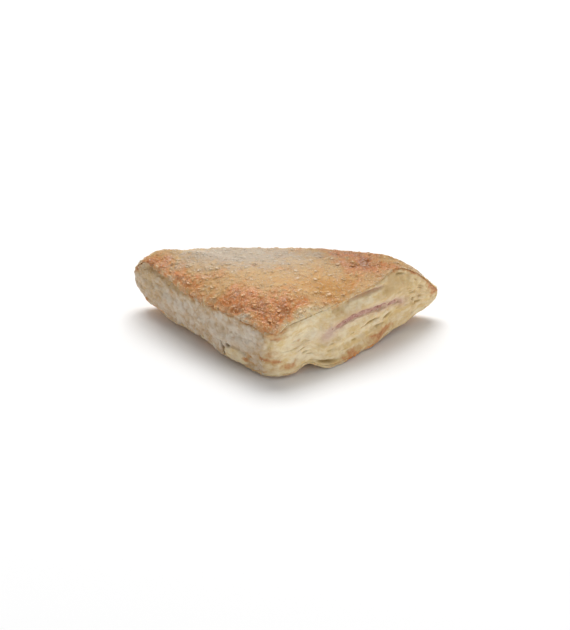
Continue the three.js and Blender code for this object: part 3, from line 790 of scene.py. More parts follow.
def cut_face(place, share, height, top):
    """How far the cut face stands out, and the traces of its relief that its colours follow."""
    distance = gap_to(place, 0)
    start, end, over = SMOOTH_BAND["along"]
    level = mix(*SMOOTH_BAND["levels"], (distance - start) / (end - start))
    smooth = between(distance, start, end, over) * bell((share - level) * height, SMOOTH_BAND["half"])
    leaves, tint, gaps = leaf_relief(place, share, height)
    leaves = leaves * (1 - 0.75 * smooth) + crumpled(distance, share, height)
    # dark is how much shade is painted inside the crack and the tears.
    torn, dark = torn_tongue(distance, share, height)
    slit = slit_depth(distance, share, height)
    size = np.clip((height - 3) / 10, 0.15, 1) * mix(0.45, 1, ease((1 - share) * height / 3))
    proud = ledge_relief(distance, share, height) + leaves + torn
    offset = face_offset(place, share, height) + size * proud
    tuck = TUCK["depth"] * (1 - 0.85 * between(distance, *TUCK["less"]))
    offset = offset - slit - tuck * ease(1 - (top - share) * height / TUCK["over"])
    past = np.maximum(place - RIGHT_TIP, LEFT_TIP - PERIMETER - place)
    offset = offset - RIBBON_END["depth"] * ease((past - RIBBON_END["from"]) / RIBBON_END["from"])
    traces = {"tint": tint, "gaps": gaps, "torn": torn, "dark": dark,
              "slit": slit, "size": size, "smooth": smooth}
    return offset, traces


def edge_browning(place, share, height):
    """Browning along the upper and the lower edge of the cut faces."""
    distance = gap_to(place, 0)
    rim = (0.75 + 0.5 * ease((distance - 78) / 8)) * (1 - 0.85 * bell(distance - 28, 22))
    upper = bell((1 - share) * height, 2.2 + 1.2 * uneven(place / 4, 6.6))
    return rim * upper + 0.1 * bell(share * height, 1.0)


def jam_stain_and_cleft_shade(distance, share, height):
    """Dough tinted by the jam beside its line and where it ends; in the cleft under the crust the same tint
    is partly jam and partly painted shade.
    """
    beside = bell((share - jam_level(distance)) * height, 2.6) * between(distance, 26, 90, 8)
    end = 0.45 * bell(distance - 31, 5) * bell((share - 0.54) * height, 3.5)
    cleft = mix(0.98, 0.87, along(distance, 40, 73))
    return beside + end + 0.9 * between(distance, 44, 73, 7) * bell((share - cleft) * height, 0.9)


def layer_looks(place, share, height, traces):
    """The values that the colours and the fine relief of the cut faces read."""
    distance = gap_to(place, 0)
    brown = patch_sum(LAYER_BROWN_AND_SHADE, distance, share, height) + edge_browning(place, share, height)
    start, over = COATED_FROM
    torn = np.clip(traces["torn"] / TONGUE["proud"], 0, 1)
    coated = (1 - ease((distance - start) / over)) * (1 - 0.9 * torn)
    rough = mix(0.35, 1.0, np.maximum(coated, bell(distance, 8) * ease(share * 2 - 1)))
    rough = rough * (1 - 0.5 * traces["smooth"]) * traces["size"] * (1 - ease(traces["slit"]))
    # Painted shade: the gaps between the leaves, the crack and the tears are coloured darker, as if in
    # shadow.
    gap = 0.6 * traces["gaps"] * (1 - 0.8 * traces["smooth"]) + traces["dark"]
    return {
        "brown": np.clip(brown, 0, MOST_BROWN),
        "white": np.clip(patch_sum(LAYER_WHITE, distance, share, height), 0, 1),
        "tan": np.clip(patch_sum(LAYER_TAN_AND_SHADE, distance, share, height), 0, 1),
        "gap": np.clip(gap, 0, 1),
        "tint": traces["tint"],
        "stain": np.clip(jam_stain_and_cleft_shade(distance, share, height), 0, 1),
        "coated": coated,
        "rough": rough,
        "level": share * height,
        "walk": place,
    }


def layers_piece():
    start, end = LEFT_TIP - PERIMETER - RIBBON["past_tip"], RIGHT_TIP + RIBBON["past_tip"]
    place = np.linspace(start, end, RIBBON["columns"])[:, None]
    low, height = side_size(place)
    top = 1 - eased(UNDER_CRUST, gap_to(place, 0)) * crust_thickness(place, height) / height
    bottom = 0.5 * np.minimum(SOLE_EDGE["thickness"], SOLE_EDGE["most"] * height) / height
    share = mix(bottom, top, np.linspace(0, 1, RIBBON["rows"])[None, :])
    offset, traces = cut_face(place, share, height, top)
    columns = [side_point(np.broadcast_to(place, offset.shape), offset, low + height * share)]
    for row in (RIBBON["rows"] - 20, RIBBON["rows"] // 2, 0):
        depth = RIBBON["depth"] * np.clip(height / 12, 0.3, 1)
        behind = face_offset(place, share[:, row:row + 1], height) - depth
        columns.append(side_point(place, behind, low + height * share[:, row:row + 1]))
    columns = np.concatenate(columns, 1)
    numbers = np.arange(columns.shape[0] * columns.shape[1]).reshape(columns.shape[:2])
    faces = []
    for here, there in zip(numbers, numbers[1:]):
        faces += np.stack([here, there, np.roll(there, -1), np.roll(here, -1)], 1).tolist()
    faces += [numbers[0].tolist(), numbers[-1][::-1].tolist()]
    fields = {}
    for name, values in layer_looks(place, share, height, traces).items():
        fields[name] = np.pad(np.broadcast_to(values, offset.shape), ((0, 0), (0, 3)), mode="edge")
    return piece_from("cut_layers", columns.reshape(-1, 3), faces, fields)


# ---- Jam ----

JAM_COLUMNS = 420
JAM_RINGS = {"flat": 10, "rounded": 15, "inner": 0.1, "outer": 0.96}
JAM_LUMPS = ((0.35, 2.3, 8), (0.25, 0.9, 40))  # (height, length, turns)


def jam_rings():
    """Reach and side of each ring: out over the top, round the edge and back underneath."""
    inner, outer, count = JAM_RINGS["inner"], JAM_RINGS["outer"], JAM_RINGS["flat"]
    upper = [(part, 1.0) for part in np.linspace(inner, outer, count)]
    edge = [(0.97 + 0.03 * math.sin(angle) ** 0.5, math.cos(angle))
            for angle in np.linspace(0, math.pi, JAM_RINGS["rounded"])]
    return upper + edge + [(part, -1.0) for part in np.linspace(outer, inner, count)]


def jam_piece():
    place = np.arange(JAM_COLUMNS) * PERIMETER / JAM_COLUMNS
    distance = gap_to(place, 0)
    opening = between(distance, *JAM_OPENS)
    spoke = outline_at(place) - MIDDLE
    length = np.linalg.norm(spoke, axis=-1)
    low, height = side_size(place)
    share = jam_level(distance)
    out = face_offset(place, share, height) + ledge_relief(distance, share, height)
    face = side_point(place, out, low + height * share)
    to_face = np.linalg.norm(face[:, :2] - MIDDLE, axis=-1) - JAM["set_back"]
    reach = mix(JAM["inside"] * length, to_face, opening)
    level = mix(JAM["height"], face[:, 2], opening)
    thickness = jam_thickness(distance, opening**2)
    thickness = thickness * (1 + 0.25 * uneven(place / 4.5, 6.5) + 0.15 * uneven(place / 1.7, 2.5))
    (low_lump, low_width, low_turns), (fine_lump, fine_width, fine_turns) = JAM_LUMPS
    rings = []
    for part, side in jam_rings():
        lump = low_lump * uneven(place / low_width, part * low_turns + side)
        lump = (lump + fine_lump * uneven(place / fine_width, part * fine_turns)) * (part > 0.9)
        flat = MIDDLE + spoke / length[:, None] * (reach * part + lump)[:, None]
        full = mix(JAM["middle"], thickness, part**2)
        rings.append(np.column_stack([flat, mix(JAM["height"], level, part**2) + side * full / 2]))
    half = JAM["middle"] / 2
    points, faces = loft(rings, [*MIDDLE, JAM["height"] + half], [*MIDDLE, JAM["height"] - half])
    return piece_from("jam_filling_lumpy", points, faces)


# ---- Node trees written as expressions ----

def linear(hex_colour):
    """A colour written as on screen, for a node's socket."""
    parts = [int(hex_colour[i:i + 2], 16) / 255 for i in (1, 3, 5)]
    return (*[p / 12.92 if p <= 0.04045 else ((p + 0.055) / 1.055) ** 2.4 for p in parts], 1.0)


class Value:
    """A socket's value. Arithmetic on it adds Math nodes to its tree."""

    def __init__(self, graph, socket):
        self.graph = graph
        self.socket = socket

    def __add__(self, other):
        return self.graph.math("ADD", self, other)

    def __sub__(self, other):
        return self.graph.math("SUBTRACT", self, other)

    def __rsub__(self, other):
        return self.graph.math("SUBTRACT", other, self)

    def __mul__(self, other):
        return self.graph.math("MULTIPLY", self, other)

    def __rtruediv__(self, other):
        return self.graph.math("DIVIDE", other, self)

    __radd__ = __add__
    __rmul__ = __mul__


class Made:
    """A node that was added, whose outputs are read by name or number."""

    def __init__(self, graph, node):
        self.graph = graph
        self.node = node

    def __getitem__(self, key):
        return Value(self.graph, socket_of(self.node.outputs, key))


def socket_of(sockets, key):
    if isinstance(key, int):
        return sockets[key]
    by_identifier = [socket for socket in sockets if socket.identifier == key]
    by_name = [socket for socket in sockets if socket.name == key and socket.enabled]
    return (by_identifier or by_name)[0]


class Graph:
    """A node tree."""

    def __init__(self, tree):
        self.tree = tree

    def node(self, kind, settings=None, inputs=None):
        added = self.tree.nodes.new(kind)
        for name, value in (settings or {}).items():
            if name == "stops":
                self.set_stops(added.color_ramp, value)
            else:
                setattr(added, name, value)
        for key, value in (inputs or {}).items():
            socket = socket_of(added.inputs, key)
            if isinstance(value, Value):
                self.tree.links.new(value.socket, socket)
            else:
                socket.default_value = value
        return Made(self, added)

    @staticmethod
    def set_stops(ramp, stops):
        while len(ramp.elements) < len(stops):
            ramp.elements.new(0.5)
        for element, (position, shade) in zip(ramp.elements, stops):
            element.position = position
            element.color = shade

    def math(self, operation, *values):
        return self.node("ShaderNodeMath", {"operation": operation}, dict(enumerate(values)))["Value"]

    def held(self, value):
        """A value held between 0 and 1."""
        settings = {"operation": "MULTIPLY", "use_clamp": True}
        return self.node("ShaderNodeMath", settings, {0: value, 1: 1.0})["Value"]

    def eased(self, value, start, end):
        settings = {"interpolation_type": "SMOOTHSTEP"}
        inputs = {"Value": value, "From Min": start, "From Max": end}
        return self.node("ShaderNodeMapRange", settings, inputs)["Result"]

    def vector(self, operation, *values):
        return self.node("ShaderNodeVectorMath", {"operation": operation}, dict(enumerate(values)))["Vector"]

    def scaled(self, vector, scale):
        inputs = {0: vector, "Scale": scale}
        return self.node("ShaderNodeVectorMath", {"operation": "SCALE"}, inputs)["Vector"]

    def blend(self, factor, first, second, how="MIX"):
        settings = {"data_type": "RGBA", "blend_type": how}
        inputs = {"Factor_Float": factor, "A_Color": first, "B_Color": second}
        return self.node("ShaderNodeMix", settings, inputs)["Result_Color"]

    def noise(self, where, size, detail=2.0, roughness=0.5):
        """Noise from -0.5 to 0.5 with lumps of a size in the units of where."""
        inputs = {"Vector": where, "Scale": 1 / size, "Detail": detail, "Roughness": roughness}
        return self.node("ShaderNodeTexNoise", {}, inputs)["Fac"] - 0.5

    def pushed(self, where, size, amount):
        """Places pushed about by three noises at once."""
        inputs = {"Vector": where, "Scale": 1 / size, "Detail": 1.0}
        push = self.node("ShaderNodeTexNoise", {}, inputs)["Color"]
        return self.vector("ADD", where, self.scaled(push, amount))

    def cells(self, where, size):
        return self.node("ShaderNodeTexVoronoi", {}, {"Vector": where, "Scale": 1 / size})["Distance"]

    def blisters(self, where, size):
        """Soft cells that rise in their middles."""
        inputs = {"Vector": where, "Scale": 1 / size, "Smoothness": 0.35}
        return 0.45 - self.node("ShaderNodeTexVoronoi", {"feature": "SMOOTH_F1"}, inputs)["Distance"]

    def raised_cells(self, where, size):
        """Cells that rise from 0 at their edges to a height of their own between 0 and 1."""
        cell = self.node("ShaderNodeTexVoronoi", {}, {"Vector": where, "Scale": 1 / size})
        own = self.node("ShaderNodeSeparateXYZ", {}, {"Vector": cell["Color"]})["X"]
        return self.eased(cell["Distance"], 0.62, 0.1) * own


# ---- Geometry trees ----

def grown(piece, name, sizes, build):
    """The plain mesh that a geometry tree with named sizes makes from a piece."""
    tree = bpy.data.node_groups.new(name, "GeometryNodeTree")
    tree.interface.new_socket("Geometry", in_out="INPUT", socket_type="NodeSocketGeometry")
    tree.interface.new_socket("Geometry", in_out="OUTPUT", socket_type="NodeSocketGeometry")
    keys = {}
    for size in sizes:
        kind = "NodeSocketInt" if size == "Seed" else "NodeSocketFloat"
        keys[size] = tree.interface.new_socket(size, in_out="INPUT", socket_type=kind).identifier
    graph = Graph(tree)
    given = graph.node("NodeGroupInput")
    result = build(graph, given["Geometry"], {size: given[size] for size in sizes})
    graph.node("NodeGroupOutput", {}, {"Geometry": result})
    modifier = piece.modifiers.new(name, "NODES")
    modifier.node_group = tree
    for size, value in sizes.items():
        modifier[keys[size]] = value
    evaluated = piece.evaluated_get(bpy.context.evaluated_depsgraph_get())
    mesh = bpy.data.meshes.new_from_object(evaluated)
    piece.modifiers.remove(modifier)
    return mesh


def attribute(graph, name, kind="FLOAT"):
    return graph.node("GeometryNodeInputNamedAttribute", {"data_type": kind}, {"Name": name})["Attribute"]


def position(graph):
    return graph.node("GeometryNodeInputPosition")["Position"]


def moved_out(graph, geometry, distance):
    """Moves every point along its normal."""
    normal = graph.node("GeometryNodeInputNormal")["Normal"]
    inputs = {"Geometry": geometry, "Offset": graph.scaled(normal, distance)}
    return graph.node("GeometryNodeSetPosition", {}, inputs)["Geometry"]


def finished(graph, geometry, material):
    inputs = {"Geometry": geometry, "Material": bpy.data.materials[material]}
    return graph.node("GeometryNodeSetMaterial", {}, inputs)["Geometry"]


def risen(graph, geometry, rise, lump, material):
    """Raises a surface where it is rough, and keeps how lumpy it became for its colours."""
    inputs = {"Geometry": geometry, "Name": "lump", "Value": lump}
    kept = graph.node("GeometryNodeStoreNamedAttribute", {"data_type": "FLOAT"}, inputs)["Geometry"]
    return finished(graph, moved_out(graph, kept, rise * attribute(graph, "rough")), material)


def granular(graph, geometry, size):
    """Blisters, granules and grit of the cut faces."""
    where = position(graph)
    blister = graph.blisters(where, size["Blister width"])
    distance = graph.cells(graph.pushed(where, 3.0, 1.4), size["Granule width"])
    granule = 0.35 - distance * distance
    grit = graph.noise(where, 1.3, 3.0)
    crusted = attribute(graph, "brown") * 0.35 + 0.75
    rise = blister * size["Blister height"] + granule * size["Granule height"] * crusted
    lump = granule + blister * 0.3 + grit * 0.4
    return risen(graph, geometry, rise + grit * size["Grit height"], lump, "cut_layers")


def sugar_glazed(graph, geometry, size):
    """Clumps and grains of half melted sugar, each as high as its own cell says, over soft blisters."""
    where = position(graph)
    warped = graph.pushed(where, 3.0, 1.6)
    rise = graph.blisters(where, size["Blister width"]) * size["Blister height"]
    lump = graph.noise(where, 2.4) * 0.3
    for kind, share in (("Clump", 0.65), ("Grain", 0.5)):
        raised = graph.raised_cells(warped, size[kind + " width"])
        rise = rise + raised * size[kind + " height"]
        lump = lump + raised * share
    return risen(graph, geometry, rise, lump, "pastry_crust")


def random_value(graph, low, high, seed, kind="FLOAT"):
    keys = {"FLOAT": ("Min_001", "Max_001", "Value_001"), "FLOAT_VECTOR": ("Min", "Max", "Value")}
    low_key, high_key, out = keys[kind]
    inputs = {low_key: low, high_key: high, "Seed": seed}
    return graph.node("FunctionNodeRandomValue", {"data_type": kind}, inputs)[out]


def copied(graph, points, instance, scale, rotation):
    """Real copies of a shape on points."""
    inputs = {"Points": points, "Instance": instance, "Scale": scale, "Rotation": rotation}
    instances = graph.node("GeometryNodeInstanceOnPoints", {}, inputs)["Instances"]
    return graph.node("GeometryNodeRealizeInstances", {}, {"Geometry": instances})["Geometry"]


CRYSTAL_SUNK = 0.27  # in crystal widths
CRYSTAL_SHAPES = ((0.8, 0.7, 0.45), (1.2, 1.1, 0.75))  # the least and the most along each edge
CRYSTAL_TURNS = ((-0.15, -0.15, 0.0), (0.15, 0.15, 6.3))


def scattered_grains(graph, geometry, size, material):
    """Small crystals strewn over a surface where its sugar value says."""
    density = attribute(graph, "sugar") * size["Grains per square millimetre"]
    inputs = {"Mesh": geometry, "Density": density, "Seed": size["Seed"]}
    strewn_on = graph.node("GeometryNodeDistributePointsOnFaces", {}, inputs)
    crystal = graph.node("GeometryNodeMeshIcoSphere", {}, {"Radius": 0.5, "Subdivisions": 1})["Mesh"]
    inputs = {"Geometry": crystal, "Translation": (0.0, 0.0, -CRYSTAL_SUNK)}
    crystal = graph.node("GeometryNodeTransform", {}, inputs)["Geometry"]
    spread = random_value(graph, 0.0, 1.0, 5)
    across = size["Smallest"] + (size["Largest"] - size["Smallest"]) * spread * spread
    scale = graph.scaled(random_value(graph, *CRYSTAL_SHAPES, 8, "FLOAT_VECTOR"), across)
    spin = random_value(graph, *CRYSTAL_TURNS, 11, "FLOAT_VECTOR")
    spin = graph.node("FunctionNodeEulerToRotation", {}, {"Euler": spin})["Rotation"]
    inputs = {"Rotation": strewn_on["Rotation"], "Rotate By": spin}
    turned = graph.node("FunctionNodeRotateRotation", {"rotation_space": "LOCAL"}, inputs)["Rotation"]
    real = copied(graph, strewn_on["Points"], crystal, scale, turned)
    smooth = graph.node("GeometryNodeSetShadeSmooth", {}, {"Geometry": real})["Geometry"]
    return finished(graph, smooth, material)


def rounded_crystals(graph, geometry, size):
    """A lump with softened corners on every point, turned and sized by the point's own values."""
    inputs = {"Size": (2.0, 2.0, 2.0), "Vertices X": 6, "Vertices Y": 6, "Vertices Z": 6}
    block = graph.node("GeometryNodeMeshCube", {}, inputs)["Mesh"]
    where = position(graph)
    ball = graph.scaled(graph.vector("NORMALIZE", where), 1.25)
    inputs = {"Factor_Float": size["Roundness"], "A_Vector": where, "B_Vector": ball}
    soft = graph.node("ShaderNodeMix", {"data_type": "VECTOR"}, inputs)["Result_Vector"]
    lump = graph.node("GeometryNodeSetPosition", {}, {"Geometry": block, "Position": soft})["Geometry"]
    half, turn = (attribute(graph, name, "FLOAT_VECTOR") for name in ("half", "turn"))
    real = copied(graph, geometry, lump, half, turn)
    chipped = graph.noise(position(graph), 0.8) * size["Chip depth"]
    return finished(graph, moved_out(graph, real, chipped), "sugar_lumps")


# ---- Materials ----

def fresh_material(name, roughness=0.6):
    """A tree with its shader, and places on the piece in millimetres."""
    material = bpy.data.materials.new(name)
    material.use_nodes = True
    material.node_tree.nodes.clear()
    graph = Graph(material.node_tree)
    shader = graph.node("ShaderNodeBsdfPrincipled", {}, {"Roughness": roughness})
    graph.node("ShaderNodeOutputMaterial", {}, {"Surface": shader["BSDF"]})
    where = graph.node("ShaderNodeTexCoord")["Object"]
    return graph, shader.node, graph.scaled(where, 1 / MILLIMETRE)


def read(graph, name):
    return graph.node("ShaderNodeAttribute", {"attribute_name": name})["Fac"]


def wire(graph, shader, **links):
    names = {"color": "Base Color", "roughness": "Roughness", "normal": "Normal", "coat": "Coat Weight"}
    for key, value in links.items():
        graph.tree.links.new(value.socket, shader.inputs[names[key]])


def bump(graph, height, strength):
    inputs = {"Height": height, "Strength": strength, "Distance": 0.4 * MILLIMETRE}
    return graph.node("ShaderNodeBump", {}, inputs)["Normal"]


def set_softness(shader, weight, radius, spread=(1.0, 0.6, 0.35)):
    """A little light passes through: the same everywhere, so set on the sockets themselves."""
    shader.inputs["Subsurface Weight"].default_value = weight
    shader.inputs["Subsurface Radius"].default_value = spread
    shader.inputs["Subsurface Scale"].default_value = radius * MILLIMETRE


WHITE_CRUST = linear("#bbac9a")
PALE_CRUST = linear("#cca777")
BEIGE_CRUST = linear("#c79b63")
GOLD_CRUST = linear("#ce964e")
TAN_CRUST = linear("#cf9357")
ORANGE_CRUST = linear("#d3864a")
DARK_CRUST = linear("#ae6a33")
TOASTING = ((0.0, PALE_CRUST), (0.25, BEIGE_CRUST), (0.5, TAN_CRUST), (0.8, ORANGE_CRUST), (1.0, DARK_CRUST))
GLAZE = linear("#e2c193")
WHITE_GLAZE = linear("#dacfbf")
MILK = linear("#f2e3cc")
WARM_MILK = linear("#edb978")
BARE_DOUGH = linear("#e3d2ae")
BARE_SHADE = linear("#d0b688")
# Painted shade: the darker tint multiplied into the crust's colour where the painted shade mask says.
PAINTED_SHADE_TINT = (0.76, 0.72, 0.66, 1)


def crust_material(name="pastry_crust", softness=0.85, milky=0.0):
    """Baked crust under clear half melted sugar; milky is the share of white sugar in it."""
    graph, shader, where = fresh_material(name)
    warped = graph.pushed(where, 2.5, 1.8)
    broad, mid, fine = (graph.noise(warped, size, 3.0) for size in (7.0, 2.8, 1.0))
    grain = graph.raised_cells(warped, 1.5)
    lump = read(graph, "lump") - 0.3
    brown, gold, white, bare = (read(graph, mask) for mask in ("brown", "gold", "white", "bare"))
    heat = brown + broad * 1.7 + mid * 0.8 - lump * (brown + 0.2) * 0.7
    toasted = graph.node("ShaderNodeValToRGB", {"stops": TOASTING}, {"Fac": heat * 0.8})["Color"]
    golden = graph.blend(graph.held(gold * 0.9 + mid * 0.5), toasted, GOLD_CRUST)
    frost = graph.held(white + (mid + broad) * 0.9 + lump * white * 0.6)
    frosted = graph.blend(graph.eased(frost, 0.1, 0.95) * 0.9, golden, WHITE_CRUST)
    dough = graph.blend(graph.eased(mid + fine * 0.5, -0.15, 0.15), BARE_SHADE, BARE_DOUGH)
    uncovered = graph.eased(bare + mid * 0.6 - lump * 0.3, -0.05, 1.1)
    dressed = graph.blend(uncovered * 0.9, frosted, dough)
    clear = graph.held((lump + 0.05) * 1.3 + (grain - 0.2) * 0.9 + mid)
    glazed = graph.blend(clear * 0.75, dressed, graph.blend(frost, GLAZE, WHITE_GLAZE))
    milk = graph.blend(graph.held(brown * 0.8 + mid * 1.4), MILK, WARM_MILK)
    # Painted shade: the colour is multiplied by a darker tint where the painted shade mask says.
    colour = graph.blend(read(graph, "dull"), graph.blend(milky, glazed, milk), PAINTED_SHADE_TINT, "MULTIPLY")
    glaze = graph.held(heat * 0.4)
    wire(graph, shader, color=colour, roughness=0.6 - 0.9 * milky - glaze * 0.25,
         normal=bump(graph, grain * 0.7 + fine * 0.3, 0.35), coat=glaze * 0.25)
    shader.inputs["Specular IOR Level"].default_value = 0.3
    set_softness(shader, softness, 1.5, (1.0, 0.75, 0.55))


PALE_DOUGH = linear("#ead9b6")
YELLOW_DOUGH = linear("#dcbf86")
WHITE_DOUGH = linear("#e6dccb")
TAN_DOUGH = linear("#c4a26c")
GREY_COAT = linear("#dacbba")
TAN_COAT = linear("#c3a27c")
BROWN_DOUGH = linear("#c4864e")
BURNT_DOUGH = linear("#a0602f")
# Painted shade in the gaps, cracks and tears of the cut faces.
PAINTED_GAP_SHADE = linear("#8d7038")
STAINED_DOUGH = linear("#c39c90")
LEAF_STRETCH = 2.4  # how much longer than high the streaks of the leaves are


def layers_material():
    """Pale leaves of dough with streaks along them, a floured left side, toasted spots, and painted shade in
    the gaps, cracks and tears.
    """
    graph, shader, where = fresh_material("cut_layers", 0.7)
    steps = {"X": read(graph, "walk"), "Y": read(graph, "level") * LEAF_STRETCH}
    leafwise = graph.node("ShaderNodeCombineXYZ", {}, steps)["Vector"]
    streak, crumb = (graph.noise(leafwise, size, 4.0, 0.6) for size in (5.0, 2.0))
    mid, fine = (graph.noise(where, size, 3.0) for size in (3.6, 0.9))
    patch = graph.noise(where, 7.0, 5.0, 0.62)
    blotch = graph.noise(where, 5.0, 4.0, 0.6)
    ragged = graph.noise(where, 2.2, 4.0, 0.65)
    lump = read(graph, "lump") - 0.12
    tint = graph.eased(read(graph, "tint") * 0.1 + (blotch + streak) * 0.5 + crumb * 0.4, -0.14, 0.16)
    dough = graph.blend(tint, PALE_DOUGH, YELLOW_DOUGH)
    mottle = graph.eased(patch + lump * 0.15 + fine * 0.25, -0.14, 0.12)
    dough = graph.blend(read(graph, "coated") * 0.9, dough, graph.blend(mottle, TAN_COAT, GREY_COAT))
    white = graph.held(read(graph, "white") + mid * 1.8 + crumb * 0.8 + lump * 0.3)
    dough = graph.blend(white * 0.6, dough, WHITE_DOUGH)
    # Tan patches, partly painted shade at the right tip and under the crust's edge on the left leg.
    tanned_and_shaded = graph.held(read(graph, "tan") + mid * 1.2 - lump * 0.3)
    dough = graph.blend(tanned_and_shaded * 0.75, dough, TAN_DOUGH)
    # Jam stain, and in the cleft under the crust also painted shade.
    stain = graph.held(read(graph, "stain") * (crumb + 0.9))
    dough = graph.blend(stain * 0.75, dough, STAINED_DOUGH)
    brown = read(graph, "brown") + ragged * 1.1 + mid * 0.4 - lump * 0.5
    toasted = graph.blend(graph.eased(brown, 0.4, 1.1), TAN_DOUGH, BROWN_DOUGH)
    toasted = graph.blend(graph.eased(brown + fine * 1.2, 0.9, 1.5) * 0.8, toasted, BURNT_DOUGH)
    # Painted highlight: the raised lumps of toasted spots are coloured a lighter yellow.
    toasted = graph.blend(graph.eased(lump + fine * 0.8, 0.05, 0.5) * 0.5, toasted, YELLOW_DOUGH)
    dough = graph.blend(graph.eased(brown, 0.12, 1.0) * 0.9, dough, toasted)
    # Painted shade: dark colour laid into the gaps, the crack and the tears.
    dough = graph.blend(graph.held(read(graph, "gap")), dough, PAINTED_GAP_SHADE)
    wire(graph, shader, color=dough, roughness=0.72 - graph.held(brown) * 0.2,
         normal=bump(graph, (crumb + fine) * 0.5, 0.7))
    set_softness(shader, 0.15, 2.0)


PALE_JAM = linear("#c29c8b")
DEEP_JAM = linear("#a97868")
JAM_SEEDS = linear("#85543f")


def jam_material():
    """Sticky jam with small dark seeds."""
    graph, shader, where = fresh_material("jam_flesh", 0.5)
    mid = graph.noise(where, 1.6, 3.0, 0.6)
    flesh = graph.blend(graph.eased(mid, -0.15, 0.15), DEEP_JAM, PALE_JAM)
    colour = graph.blend(graph.eased(graph.cells(where, 2.6), 0.1, 0.26), JAM_SEEDS, flesh)
    wire(graph, shader, color=colour, normal=bump(graph, mid, 0.6))
    set_softness(shader, 0.2, 1.5)


CLEAR_SUGAR = linear("#ddd0bc")
AMBER_SUGAR = linear("#d8a673")


def sugar_material():
    """Loose crystals, here and there a little amber."""
    graph, shader, where = fresh_material("sugar", 0.2)
    tone = graph.noise(where, 1.1, 1.0)
    colour = graph.blend(graph.held(tone * 0.6 + 0.1), CLEAR_SUGAR, AMBER_SUGAR)
    wire(graph, shader, color=colour, roughness=tone * 0.3 + 0.3)
    set_softness(shader, 0.3, 0.3, (1.0, 1.0, 1.0))


# ---- Making the pieces ----

CRUST_RELIEF = {"Blister width": 6.5, "Blister height": 0.7, "Clump width": 2.7, "Clump height": 0.75,
                "Grain width": 1.4, "Grain height": 0.4}
LAYER_RELIEF = {"Blister width": 5.4, "Blister height": 1.3, "Granule width": 2.6, "Granule height": 1.0,
                "Grit height": 0.6}
CRUST_CRYSTALS = {"Grains per square millimetre": 3.1, "Smallest": 0.5, "Largest": 1.5, "Seed": 7}
CUT_FACE_CRYSTALS = {"Grains per square millimetre": 0.8, "Smallest": 0.35, "Largest": 1.0, "Seed": 23}
LUMP_SHAPE = {"Roundness": 0.8, "Chip depth": 0.4}
LUMP_EDGES = (1.9, 1.7, 0.44)  # in lump sizes
LUMP_RAISED = 0.15
LUMP_TILT = {"share": 0.08, "least": -0.25}
LUMP_TONE = 0.5  # the lump value that its colours read


def settle(piece, material):
    """Takes a piece from millimetres at the fold to metres in the part's frame."""
    place = Matrix.Translation(Vector(FOLD_MIDDLE) * MILLIMETRE) @ Matrix.Scale(MILLIMETRE, 4)
    piece.data.transform(place)
    if not piece.data.materials:
        piece.data.materials.append(bpy.data.materials[material])
    piece.data.update()
    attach(piece, "root")


def rest_on_floor(mesh):
    """Lifts what the relief pushed below the floor."""
    places = places_of(mesh)
    places[:, 2] = np.maximum(places[:, 2], 0.0)
    mesh.vertices.foreach_set("co", places.ravel())


def sugar_places():
    """Place, size, turn and masks of each lump of sugar, drawn in the same order as on the solid."""
    draws = random_from(SUGAR_SEED)
    lumps = []
    tries = 0
    while len(lumps) < SUGAR["count"] and tries < SUGAR["tries"] * SUGAR["count"]:
        tries += 1
        place = np.array([next(draws) * PERIMETER])
        share = SUGAR["reach"] * math.sqrt(next(draws))
        low, height = side_size(place)
        rim = side_point(place, face_offset(place, 1.0, height), low + height)
        flat = inwards(rim[:, :2], share)
        at = np.array([*flat[0], (crust_height(place, share) + puff(flat, share))[0]])
        turn = [6 * next(draws) for _ in range(3)]
        size = mix(SUGAR["largest"], SUGAR["smallest"], len(lumps) / SUGAR["count"])
        if all(np.linalg.norm(at - other["at"]) > SUGAR["spacing"] for other in lumps):
            inset = (1 - share) * np.linalg.norm(outline_at(place) - MIDDLE, axis=-1)
            masks = crust_masks(flat, place, inset)
            lumps.append({"at": at, "size": size, "turn": turn, "masks": masks})
    return lumps


def sugar_lumps(lumps):
    """One mesh of all the lumps of sugar that the solid has."""
    points = [[*lump["at"][:2], lump["at"][2] + LUMP_RAISED * lump["size"]] for lump in lumps]
    mesh = bpy.data.meshes.new("sugar_lumps")
    mesh.from_pydata(points, [], [])
    halves = [[0.5 * edge * lump["size"] for edge in LUMP_EDGES] for lump in lumps]
    add_values(mesh, "half", halves, "FLOAT_VECTOR")
    tilts = [LUMP_TILT["share"] * np.array(lump["turn"][:2]) + LUMP_TILT["least"] for lump in lumps]
    turns = [[*tilt, lump["turn"][2]] for tilt, lump in zip(tilts, lumps)]
    add_values(mesh, "turn", turns, "FLOAT_VECTOR")
    for name in lumps[0]["masks"]:
        add_values(mesh, name, [lump["masks"][name] for lump in lumps])
    add_values(mesh, "lump", [LUMP_TONE] * len(lumps))
    piece = new_piece("sugar_lumps", mesh)
    piece.data = grown(piece, "rounded_crystals", LUMP_SHAPE, rounded_crystals)
    return piece


def strewn(name, carrier, material, sizes):
    """A piece of crystals scattered over another piece."""
    return new_piece(name, grown(carrier, name, sizes, lambda *given: scattered_grains(*given, material)))


def sugared_crust(lumps):
    """The crust with its relief, and how much sugar it carries: none on the sides and little on the fold."""
    crust = crust_piece(lumps)
    crust.data = grown(crust, "pastry_crust", CRUST_RELIEF, sugar_glazed)
    rest_on_floor(crust.data)
    brown, white, gold = (values_of(crust.data, name) for name in ("brown", "white", "gold"))
    depth, height = places_of(crust.data)[:, 1:].T
    up = ease((height - 12) / 10) * mix(0.15, 1, ease(-depth / 6))
    add_values(crust.data, "sugar", up * (0.26 + 0.14 * brown - 0.06 * white - 0.06 * gold))
    return crust


